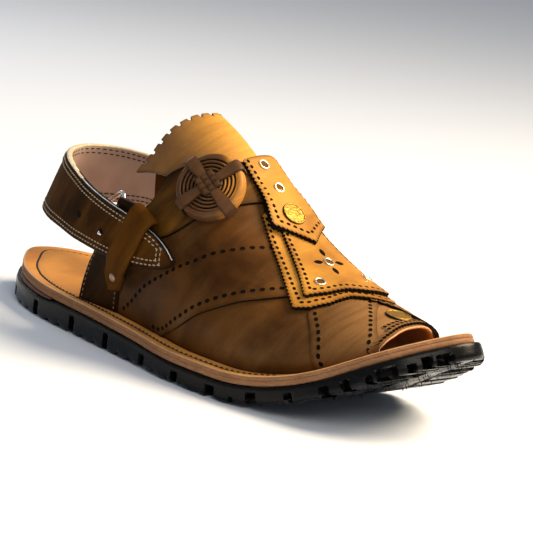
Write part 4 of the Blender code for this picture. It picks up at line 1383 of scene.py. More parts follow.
    def make_vent_hairs(self) -> None:
        """Thin moulding hairs that hang from the underside at the toe, as tapered needles."""
        maker, sole = self.maker, self.maker.sole
        rng = np.random.default_rng(7)
        count = self.hair_count
        x = rng.uniform(246.0, 291.0, count)
        outer, inner = sole.rim(x)
        y = between(outer, inner, rng.uniform(0.02, 0.8, count))
        root = sole.on_rubber(x, y, sole.tread_bottom(x) + 0.4)
        tip = sole.on_rubber(x, y, sole.tread_bottom(x) - rng.uniform(1.0, 2.6, count))
        lean = rng.normal(0, 0.5, (count, 3)) * (1, 1, 0.2)
        way = np.linspace(0, 1, 4)[None, :, None]
        spine = root[:, None] * (1 - way) + (tip + lean)[:, None] * way
        turn = circle(5)
        ring = np.stack([np.cos(turn), np.sin(turn), np.zeros(5)], axis=1)
        radius = np.array((0.34, 0.22, 0.14, 0.03))[None, :, None, None]
        points = spine[:, :, None] + radius * ring[None, None]
        shell = maker.shell()
        shell.add(points, repeated(grid_faces(4, 5, wrap=True), 20, count))
        maker.keep(shell, "vent_hairs", "rubber", None, (Stuff.TREAD,))

    def make(self, nodes: dict[str, bpy.types.Object]) -> None:
        """Make the four layers; the heel lift keeps its CAD shape and gets its finish.

        Args:
            nodes: The CAD's objects by node name.
        """
        self.make_tread()
        self.make_midsole()
        self.make_insole()
        for slot in nodes["heel_lift"].material_slots:
            slot.material = Stuff.LIFT.material()
        LOG.info("heel_lift: CAD shape with its own finish")


# ---- the upper ----------------------------------------------------------------------------------
@dataclass
class Upper:
    """A lined wall with leather pieces on it, open at the collar, the toe and underneath.

    The wall's outside lies a skin's thickness under the last; the quarters and the toe pieces
    bring it up to the last, so that each of them ends in a real step.
    """

    maker: Maker
    skin: float = 0.8
    bite: float = 0.15                 # how deep a piece's back lies in the wall's face
    wall: float = 2.0
    sink: float = 0.35                 # the wall stands this deep in the insole's face
    # share of the girth, x of the collar edge, x of the toe edge
    edges: Rows = (
        (-1, 113.5, 269.5), (-0.8, 119, 270), (-0.6, 127.5, 270), (-0.4, 138.5, 269), (-0.2, 153, 268),
        (0, 166, 267.5), (0.2, 153, 267), (0.4, 140, 266), (0.6, 131, 265), (0.8, 124, 263.5),
        (1, 119, 262),
    )
    # x and girth of the quarter's lower edge, from the foot to the ridge
    quarter_edge: Rows = (
        (145, 121.5), (153.5, 111.5), (167, 95.3), (181.5, 74.4), (190.5, 63.3), (199, 53.2),
        (207, 44.7), (215.5, 33.8), (222, 24), (226, 8),
    )
    # x and girth of the toe piece's rear and front edge, outer side
    front_rear: Rows = (
        (247, 60), (241.5, 46.5), (237, 40.2), (232.5, 36.3), (229, 33), (226, 24), (224, 12), (223, 0),
    )
    front_outer: Rows = (
        (269.7, 40), (269, 28.1), (261.5, 20.2), (254, 12.4), (246.5, 4.5), (240, -2.5), (236, -3.4),
        (230, -3.4),
    )
    front_inner: Rows = (
        (262.3, 60), (264.3, 30), (266.2, 18.5), (259, 13.5), (250, 9), (241, 4), (234, 1.3),
        (229, 1.3),
    )
    upper_row: Rows = (
        (119.5, 120), (123, 116.4), (137.5, 97.8), (149.5, 84.4), (157.5, 74.7), (168, 61.3),
        (175.5, 49.3), (181, 40.8), (186.5, 31), (191, 22.5),
    )
    lower_row: Rows = (
        (145.5, 117), (148, 112.8), (165.5, 92.3), (179.5, 71.8), (188, 60.6), (196.5, 50.2),
        (204.5, 40.9), (212, 31), (216, 25),
    )
    seam_row: Rows = ((232, 31.5), (236, 34.5), (240.3, 38), (245, 44), (248, 51))
    edge_row: Rows = ((238.5, 1.1), (247.5, 10), (256, 18.6), (263, 26.5), (266, 33))
    hole_pitch: float = 4.6
    toe_pitch: float = 4.2
    quarter_top: float = 0.5
    vamp_top: float = 1.3              # the inner toe piece laps the ridge
    tooth_pitch: float = 2.2
    tooth: float = 0.9
    cap_back: float = 1.7              # the toe cap stands this far behind the toe edge
    cap_rear: float = 232.0
    cap_sweep: float = 24.0            # its rear edge is this much farther forward at the sides
    # distance behind the toe edge, share of the girth at both ends, height over the last
    cap_rows: Rows = ((3.6, -0.46, 0.31, 0.55), (6.6, -0.40, 0.27, 0.12))
    cap_pitch: float = 3.3

    def stand(self, grid: Array, row: int = 0) -> None:
        """Let one row of a grid stand in the insole's face."""
        grid[row, :, 2] = self.maker.sole.bed(grid[row, :, 0]) - self.sink

    def make_wall(self) -> None:
        """The lined wall; its toe rim is pale, its collar rim brown."""
        maker, last = self.maker, self.maker.last
        share = np.linspace(-1, 1, 161)[:, None]
        way = np.linspace(0, 1, 131)[None, :]
        x = between(read(self.edges, 1, share), read(self.edges, 2, share), way)
        share = np.broadcast_to(share, x.shape)
        girth = last.girth(x, share)
        front = last.lifted(x, girth, -self.skin)
        back = last.lifted(x, girth, -self.wall)
        for grid in (front, back):
            for row in (0, -1):
                self.stand(grid, row)
        toe = x.shape[1] - 1
        _, j = border(*x.shape)
        shell = maker.shell()
        shell.slab(front, back, (0, np.where((j == toe) & (np.roll(j, -1) == toe), 2, 1), 3))
        maker.keep(shell, "upper_wall", "upper_leather", "upper",
                   (Stuff.UPPER, Stuff.BROWN_EDGE, Stuff.TOE_EDGE, Stuff.TOE_INSIDE), 60)

    def skin_piece(self, name: str, x: Array, girth: Array, top: Number, thick: Number,
                   rim: Stuff, stands: bool = True) -> None:
        """A leather piece that lies on the wall.

        Args:
            name: Its name.
            x: x of its grid on the last.
            girth: Girth of the same grid.
            top: Height of its face over the last.
            thick: Thickness.
            rim: Finish of its cut edge.
            stands: Whether its first row stands on the insole and its cut edge is rounded.
        """
        maker = self.maker
        outer, inner = maker.last.feet(x)
        girth = np.clip(girth, outer, inner)
        front = maker.last.lifted(x, girth, top)
        back = maker.last.lifted(x, girth, top - thick)
        if stands:
            self.stand(front)
            self.stand(back)
        shell = maker.shell()
        shell.slab(front, back, (0, 1, 0), 0.15 if stands else 0.0, 2)
        maker.keep(shell, name, "upper_leather", None, (Stuff.UPPER, rim), 45)

    def line(self, rows: Rows, share: Array, side: float) -> tuple[Array, Array]:
        """x and signed girth along a line at shares of its length.

        Args:
            rows: x and girth of its points.
            share: Shares of the length.
            side: -1 for the outer side, 1 for the inner.

        Returns:
            x and girth.
        """
        knots = knots_of(rows)
        knots /= knots[-1]
        return through(knots, column(rows, 0), share), side * through(knots, column(rows, 1), share)

    def make_quarter(self, name: str, side: float) -> None:
        """A quarter from the collar to its swept lower edge; a point moves evenly between them.

        Args:
            name: Its name.
            side: -1 for the outer side, 1 for the inner.
        """
        v, u = shares(131, 71)
        front_x, front_g = self.line(self.quarter_edge, v, side)
        share = side * (1 - v)
        rear_x = read(self.edges, 1, share)
        rear_g = self.maker.last.girth(rear_x, share)
        self.skin_piece(name, between(rear_x, front_x, u), between(rear_g, front_g, u), self.quarter_top,
                        self.skin + self.quarter_top + self.bite, Stuff.BLACK_EDGE)

    def make_front(self, name: str, side: float, front: Rows, top: float) -> None:
        """A toe piece between its rear seam and its front edge, from the foot to the ridge.

        Args:
            name: Its name.
            side: -1 for the outer side, 1 for the inner.
            front: x and girth of its front edge.
            top: Height of its face over the last.
        """
        v, u = shares(91, 51)
        rear_x, rear_g = self.line(self.front_rear, v, side)
        front_x, front_g = self.line(front, v, side)
        self.skin_piece(name, between(rear_x, front_x, u), between(rear_g, front_g, u), top,
                        self.skin + self.bite + top, Stuff.BLACK_EDGE if top > 0 else Stuff.BROWN_EDGE)

    def make_toe_cap(self) -> None:
        """The pinked strip round the toe opening, set back from the wall's pale rim."""
        last = self.maker.last
        share = np.linspace(-0.99, 0.82, 281)[:, None]
        u = np.linspace(0, 1, 41)[None, :] ** 0.8
        edge = read(self.edges, 2, share)
        run = cumulative(last.point(edge[:, 0], last.girth(edge[:, 0], share[:, 0])))[:, None]
        teeth = self.tooth * (tri(run / self.tooth_pitch) - 0.5)
        front = edge - self.cap_back + teeth
        rear = self.cap_rear + self.cap_sweep * np.minimum(np.abs(share) / 0.45, 1)
        x = between(rear, front, u)
        top = -0.3 + 0.9 * ease((u - 0.72) / 0.26)
        self.skin_piece("toe_cap", x, last.girth(x, share), top, top + self.skin + self.bite,
                        Stuff.BLACK_EDGE, False)

    def make_rows(self) -> None:
        """Every punched row on the upper, on both sides."""
        maker, last = self.maker, self.maker.last
        shell = maker.shell()
        oval = punched(2.9, 2.15)
        small = punched(2.8, 2.2)
        plans = []
        for side, vamp in ((-1.0, 0.0), (1.0, self.vamp_top)):
            for rows, pitch, lift in ((self.upper_row, self.hole_pitch, self.quarter_top),
                                      (self.lower_row, self.hole_pitch, self.quarter_top),
                                      (self.seam_row, self.toe_pitch, vamp),
                                      (self.edge_row, self.toe_pitch, vamp)):
                plans.append((oval, [(x, side * g) for x, g in rows], pitch, lift))
        for inset, start, end, lift in self.cap_rows:
            share = np.linspace(start, end, 40)
            x = read(self.edges, 2, share) - inset
            plans.append((small, list(zip(x, last.girth(x, share))), self.cap_pitch, lift))
        for stud, rows, pitch, lift in plans:
            outer, inner = last.feet(column(rows, 0))
            rows = list(zip(column(rows, 0), np.clip(column(rows, 1), outer + 3.0, inner - 3.0)))
            trail = Trail.on(last, rows, pitch, lift)
            shell.studs(stud, trail.centres, trail.along, trail.normal)
        maker.keep(shell, "upper_punching", "upper_leather", None, (Stuff.UPPER, Stuff.HOLE_SHADE))

    def make(self) -> None:
        """Make the wall, its pieces and their rows."""
        self.make_wall()
        self.make_quarter("quarter_outer", -1.0)
        self.make_quarter("quarter_inner", 1.0)
        self.make_toe_cap()
        self.make_front("toe_side_outer", -1.0, self.front_outer, 0.0)
        self.make_front("toe_side_inner", 1.0, self.front_inner, self.vamp_top)
        self.make_rows()


@dataclass
class Tongue:
    """The fan that rises out of the collar, with a notched rear edge."""

    maker: Maker
    thick: float = 1.8
    lift: float = -2.45
    tooth_pitch: float = 6.6
    tooth_depth: float = 2.1
    # share across, x and girth of the rear edge, x and girth where it ends under the upper
    fan: Rows = (
        (-1.00, 104, -56, 143, -43), (-0.75, 109.5, -43.5, 152, -33), (-0.50, 112.5, -30, 163, -22),
        (-0.25, 117.5, -15, 174, -11), (0.00, 121, 0, 178, 0), (0.25, 117.5, 15, 174, 11),
        (0.50, 112.5, 30, 163, 22), (0.75, 109.5, 43.5, 152, 33), (1.00, 104, 56, 143, 43),
    )

    def make(self) -> None:
        """A grid between the notched rear edge and the root, a point moving evenly between them."""
        maker, last = self.maker, self.maker.last
        across = np.linspace(-1, 1, 401)[None, :]
        way = np.linspace(0, 1, 49)[:, None] ** 1.3
        rear_x, rear_g, root_x, root_g = (read(self.fan, k, across) for k in (1, 2, 3, 4))
        run = cumulative(last.point(rear_x[0], rear_g[0]))
        count = round(run[-1] / self.tooth_pitch)
        cut = notch(run / run[-1] * count + 0.5, 0.30)[None, :] * (np.abs(across) < 0.985)
        rear_x = rear_x + self.tooth_depth * cut
        x, girth = between(rear_x, root_x, way), between(rear_g, root_g, way)
        shell = maker.shell()
        shell.slab(last.lifted(x, girth, self.lift), last.lifted(x, girth, self.lift - self.thick),
                   (0, 1, 2), 0.0, 2)
        maker.keep(shell, "tongue_fan", "upper_leather", "tongue",
                   (Stuff.TONGUE, Stuff.BLACK_EDGE, Stuff.INSIDE), 40)


@dataclass
class CrossBand:
    """The band from the outer quarter up to the ridge, with a pointed rear end."""

    maker: Maker
    lift: float = 0.3
    thick: float = 1.6
    # share along, x and girth of the rear edge, x and girth of the front edge
    rows: Rows = (
        (0.00, 124, -67.5, 140, -73), (0.15, 127.5, -62, 145, -68.5), (0.35, 129.5, -50, 151, -61),
        (0.60, 140, -34, 161, -43.5), (0.82, 152, -17, 169.5, -26), (1.00, 159, -5, 173.5, -12),
    )

    def make(self) -> None:
        """A grid across the band, a point moving evenly from its rear to its front edge."""
        maker, last = self.maker, self.maker.last
        way, across = shares(121, 31)
        rear_x, rear_g, front_x, front_g = (read(self.rows, k, way) for k in (1, 2, 3, 4))
        x, girth = between(rear_x, front_x, across), between(rear_g, front_g, across)
        shell = maker.shell()
        shell.slab(last.lifted(x, girth, self.lift + self.thick), last.lifted(x, girth, self.lift - 0.3),
                   (0, 1, 0), 0.25, 3)
        maker.keep(shell, "cross_band_strap", "upper_leather", "cross_band",
                   (Stuff.SHADED_BAND, Stuff.BLACK_EDGE), 50)


@dataclass(frozen=True)
class PanelCut:
    """The cut of one panel: its name, node, edges, hem, height over the last and punching."""

    name: str
    node: str
    sides: Rows            # x, girth of the outer edge, girth of the inner edge
    hem: Rows              # share across, how far the bottom edge stands before the last row
    lift: tuple[float, float]
    thick: float
    inset: float = 3.0
    punch_from: float = 0.04
    # deep carries the black edge down: the cut edge, and below it painted shadow under the panel's lifted
    # edge.
    deep: float = 0.0      # how far its edge is carried down over what lies under it
    rise_from: float = 164.0
    rise_length: float = 14.0

    def place(self, down: Number, across: Number, teeth: Number = 0.0,
              hem_teeth: Number = 0.0) -> tuple[Array, Array]:
        """x and girth at shares down and across; teeth widen the sides, hem_teeth the bottom.

        Args:
            down: Share of the way down.
            across: Share of the way to the inner edge.
            teeth: How far the sides stand out.
            hem_teeth: How far the bottom stands out.

        Returns:
            x and girth.
        """
        top, bottom = self.sides[0][0], self.sides[-1][0]
        nominal = between(top, bottom, down)
        left = read(self.sides, 1, nominal) - teeth
        right = read(self.sides, 2, nominal) + teeth
        return nominal + (straight(self.hem, across) + hem_teeth) * down**2, between(left, right, across)

    def height(self, x: Array) -> Array:
        """Height of the panel's back over the last; it rises softly on to what lies under it."""
        return between(*self.lift, ease((x - self.rise_from) / self.rise_length))


@dataclass
class Panels:
    """Three golden panels stacked on the ridge, pinked and punched round their edges."""

    maker: Maker
    tooth_pitch: float = 2.3
    tooth: float = 1.0
    hole_pitch: float = 3.45
    # x and girth of the middle eyelet, and of the four cuts round it
    hub: tuple[float, float] = (209.0, -2.6)
    petals: Rows = ((202.6, -1.2), (208.0, -8.4), (210.2, 3.2), (215.3, -3.6))
    cuts: tuple[PanelCut, ...] = (
        PanelCut("panel_bottom_layer", "panel_lower",
                 ((177, -18, 11), (197, -24.5, 16), (217, -33.5, 21.5), (224, -37, 22.5)),
                 ((0, -1), (0.095, 5), (0.25, 9), (0.475, 9.5), (0.63, 14), (0.79, 20), (1, 8)),
                 (0.3, 0.3), 1.6),
        PanelCut("panel_middle_layer", "panel_middle",
                 ((179, -12, 10), (193, -15.5, 13.5), (210, -22, 18), (224, -29.5, 20.5)),
                 ((0, -1), (0.21, 4), (0.425, 5.5), (0.64, 10), (0.85, 11.5), (1, 4)),
                 (2.2, 2.2), 1.6, deep=0.5),
        PanelCut("flap_top_layer", "flap",
                 ((154.5, -13.5, 8), (168, -14, 12), (184, -18, 15)),
                 ((0, 0), (0.5, 13.5), (1, 0)),
                 (2.2, 4.1), 1.8, 3.1, 0.02, 1.7),
    )

    def make_panel(self, cut: PanelCut) -> None:
        """A slab on the last, its border cut in a triangle wave.

        Args:
            cut: The panel's cut.
        """
        maker, last = self.maker, self.maker.last
        down, across = shares(171, 121)
        side = cumulative(last.point(*cut.place(down[:, 0], 0.0)))[:, None]
        hem = cumulative(last.point(*cut.place(1.0, across[0])))[None, :]
        teeth, hem_teeth = (self.tooth * (tri(run / self.tooth_pitch) - 0.5) for run in (side, hem))
        x, girth = cut.place(down, across, teeth, hem_teeth)
        low = cut.height(x)
        shell = maker.shell()
        # The back is carried down by cut.deep with the black edge finish: painted shadow under the lifted
        # edge.
        shell.slab(last.lifted(x, girth, low + cut.thick), last.lifted(x, girth, low - cut.deep),
                   (0, 1, 1), 0.0, 1)
        maker.keep(shell, cut.name, "panel_leather", cut.node, (Stuff.PANEL, Stuff.BLACK_EDGE), 40)

    def make_punching(self, cut: PanelCut) -> None:
        """Holes down one side, along the hem and up the other side, at one inset.

        Args:
            cut: The panel's cut.
        """
        maker, last = self.maker, self.maker.last
        length = cut.sides[-1][0] - cut.sides[0][0]
        low_down = 1 - cut.inset / length / 1.15
        share = cut.inset / (cut.sides[-1][2] - cut.sides[-1][1])
        down = np.linspace(cut.punch_from, low_down, 60)
        across = np.linspace(share, 1 - share, 60)
        x, girth = cut.place(np.concatenate([down, np.full(58, low_down), down[::-1]]),
                             np.concatenate([np.full(60, share), across[1:-1], np.full(60, 1 - share)]))
        trail = Trail.on(last, list(zip(x, girth)), self.hole_pitch, 0.0, 1.0, cornered=True)
        lift = cut.height(trail.x) + cut.thick
        shell = maker.shell()
        shell.studs(punched(2.3, 1.75), trail.centres + trail.normal * lift[:, None],
                    trail.along, trail.normal)
        if cut.node == "panel_middle":
            self.add_flower(shell, cut)
        maker.keep(shell, cut.name + "_punching", "panel_leather", None, (Stuff.PANEL, Stuff.HOLE_SHADE))

    def add_flower(self, shell: Shell, cut: PanelCut) -> None:
        """Four lens-shaped cuts that point at the middle eyelet.

        Args:
            shell: Where it goes.
            cut: The panel's cut.
        """
        last = self.maker.last
        x, girth = column(self.petals, 0), column(self.petals, 1)
        lift = cut.height(x) + cut.thick
        centres = last.lifted(x, girth, lift)
        hub = last.lifted(*np.array(self.hub)[:, None], lift[:1])
        lens = punched(5.6, 3.0, (1.25, 1.1, 0.96, 0.5, 0.0), 16, 1.5)
        shell.studs(lens, centres, centres - hub, last.normal(x, girth))

    def make(self) -> None:
        """Make the three panels and their rows."""
        for cut in self.cuts:
            self.make_panel(cut)
            self.make_punching(cut)


@dataclass
class Medallion:
    """A flat coil of leather with two narrow straps plaited over its middle."""

    maker: Maker
    at: tuple[float, float] = (157.3, -34.7)
    seat: float = 3.3
    radius: float = 16.8
    height: float = 7.0
    axis: Triple = (0.31, -0.79, 0.53)
    edge: float = 1.9
    coil_pitch: float = 1.95
    groove: float = 1.5
    strap_width: float = 5.4
    strap_thick: float = 1.2
    plait_pitch: float = 3.35
    plait_depth: float = 1.3
    turns: tuple[float, float] = (math.radians(50.0), math.radians(144.0))

    def frame(self) -> tuple[Array, Array, Array, Array]:
        """Seat point, two directions in the disc's plane, and its axis.

        Returns:
            The point and the three directions.
        """
        seat = self.maker.last.lifted(np.array([self.at[0]]), np.array([self.at[1]]), self.seat)[0]
        axis = unit(np.array(self.axis))
        first = unit(np.cross((0.0, 0.0, 1.0), axis))
        return seat, first, np.cross(axis, first), axis

    def strap_ways(self, turn: float) -> tuple[Array, Array]:
        """Directions along and across a strap that lies at a turn on the disc.

        Args:
            turn: The angle.

        Returns:
            The two directions.
        """
        _, first, second, axis = self.frame()
        along = math.cos(turn) * first + math.sin(turn) * second
        return along, np.cross(axis, along)

    def make_coil(self) -> None:
        """The face's height falls in a groove along a spiral.

        The groove is where the cosine of pi times (radius / pitch - turn / full turn) is near
        zero; the rim rolls over a quarter circle to an upright wall that swells a little.
        """
        maker = self.maker
        sides = 120
        turn = circle(sides)[None, :]
        flat = self.radius - self.edge         # where the face ends and the rim begins to roll
        face = np.linspace(0.0, flat, 96)[:, None]
        phase = face / self.coil_pitch - turn / (2 * np.pi)
        ridge = np.abs(np.cos(np.pi * phase)) ** 0.95
        fade = np.clip(face / 3.0, 0, 1) * np.clip((flat - 0.5 - face) / 0.6, 0, 1)
        dip = self.groove * (1 - ridge) * fade
        top = self.height - dip
        roll = np.linspace(0, np.pi / 2, 9)[1:, None]
        wall = np.linspace(0, 1, 9)[1:, None]
        side_radius = np.concatenate([flat + self.edge * np.sin(roll),
                                      self.radius + 0.25 * np.sin(np.pi * wall) - 0.9 * wall**6,
                                      ((self.radius * 0.7,), (0.0,))])
        side_height = np.concatenate([self.height - self.edge + self.edge * np.cos(roll),
                                      (self.height - self.edge) * (1 - wall), ((0.0,), (0.0,))])
        radius = np.concatenate([face, side_radius])
        height = np.concatenate([top, np.tile(side_height, (1, sides))])
        # Painted shade in the spiral groove: its floor gets a small edge distance, so the leather darkens it
        # there as it does by a cut edge.
        near = np.concatenate([4 * np.clip(1 - dip / self.groove * 2.0, 0, 1) ** 0.7,
                               np.full((len(side_height), sides), 6.0)])
        seat, first, second, axis = self.frame()
        x, y = (radius * np.cos(turn))[..., None], (radius * np.sin(turn))[..., None]
        shell = maker.shell()
        shell.grid(seat + x * first + y * second + height[..., None] * axis, wrap=True, edge=near)
        maker.keep(shell, "medallion_coil", "upper_leather", "medallion", (Stuff.COIL,), 70, 2e-6)

    def strap_line(self, over: float) -> tuple[Array, Array]:
        """Radius and height of a strap's middle from rim to rim: up the wall, over the face.

        Args:
            over: How far it rides over the other strap.

        Returns:
            Radius and height.
        """
        out, top = self.radius + 0.75, self.height + 0.55 + over
        half_radius = np.array((out - 0.4, out, out, out - 0.5, out - 1.6, out - 3.2, 9.0, 5.2, 2.6))
        half_height = np.array((0.3, 1.6, top - 2.4, top - 1.0, top - 0.25, top, top + 0.05, top + 0.25,
                                top + 0.5))
        radius = np.concatenate([-half_radius, [0.0], half_radius[::-1]])
        height = np.concatenate([half_height, [top + 0.55], half_height[::-1]])
        knots = cumulative(np.stack([radius, height], axis=1))
        fine = np.linspace(0, knots[-1], 121)
        return through(knots, radius, fine), through(knots, height, fine)

    def make_straps(self) -> None:
        """Two straps of rounded section, and a plait where they cross."""
        maker = self.maker
        seat, _, _, axis = self.frame()
        shell = maker.shell()
        for turn, over in zip(self.turns, (0.0, 0.35)):
            radius, height = self.strap_line(over)
            along, side = self.strap_ways(turn)
            spine = seat + radius[:, None] * along + height[:, None] * axis
            ahead = unit(np.gradient(spine, axis=0))
            out = np.cross(ahead, side)
            width = self.strap_width / 2 * (0.88 + 0.34 * ease((np.abs(radius) - 4.0) / 10.0))
            shell.tube(rounded_band(spine, np.broadcast_to(side, spine.shape), out, width,
                                    self.strap_thick / 2, crown=0.12), band_edges(width))
        self.add_plait(shell)
        maker.keep(shell, "medallion_bands", "upper_leather", "medallion_straps", (Stuff.PLAIT,), 60)

    def add_plait(self, shell: Shell) -> None:
        """Nine arched pads, three by three, that run over each other by turns.

        Args:
            shell: Where it goes.
        """
        seat, _, _, axis = self.frame()
        along, side = self.strap_ways(self.turns[0])
        u, v = np.meshgrid(np.linspace(-1, 1, 11), np.linspace(-1, 1, 11), indexing="ij")
        pitch = self.plait_pitch
        for k in range(9):
            a, b = k % 3 - 1, k // 3 - 1
            long, cross = (u, v) if k % 2 else (v, u)
            arch = np.cos(long * 1.2)
            dome = np.sqrt(np.clip(1 - cross**4 * 0.9, 0, 1)) * (0.35 + 0.65 * arch)
            lift = self.height + 2.0 + 0.95 * dome
            points = (seat + (a * pitch + u * pitch * (0.58 if k % 2 else 0.47))[..., None] * along
                      + (b * pitch + v * pitch * (0.47 if k % 2 else 0.58))[..., None] * side
                      + lift[..., None] * axis)
            shell.slab(points, points - self.plait_depth * axis, (0, 0, 0), 0.0, 1)

    def make(self) -> None:
        """Make the coil and its straps."""
        self.make_coil()
        self.make_straps()


BAND_POINTS = 28


def rounded_band(spine: Array, side: Array, out: Array, half_width: Array, half_thick: Number,
                 crown: float) -> Array:
    """Closed profiles of a flat band with rounded edges along a spine.

    The profile is a superellipse of power five across and two through the thickness, whose outer
    half is raised by crown in the middle.

    Args:
        spine: Middle line, (n, 3).
        side: Direction across the band at each point.
        out: Direction of its outer face.
        half_width: Half width at each point.
        half_thick: Half of the thickness.
        crown: How far the outer face's middle stands over its edges.

    Returns:
        Profiles, (n, BAND_POINTS, 3).
    """
    turn = circle(BAND_POINTS)
    cosine, sine = np.cos(turn), np.sin(turn)
    across = np.sign(cosine) * np.abs(cosine) ** 0.4
    depth = np.sign(sine) * np.abs(sine) ** 0.8
    half_thick = np.broadcast_to(half_thick, (len(spine),))
    lift = half_thick[:, None] * depth[None] + (crown * (1 - across**2) * (sine > 0))[None]
    return (spine[:, None] + (half_width[:, None] * across[None])[..., None] * side[:, None]
            + lift[..., None] * out[:, None])


def band_edges(half_width: Array) -> Array:
    """Distance from a band's edge for the points of rounded_band."""
    inside = 1 - np.abs(np.cos(circle(BAND_POINTS))) ** 0.4
    return half_width[:, None] * inside[None] * 2.0


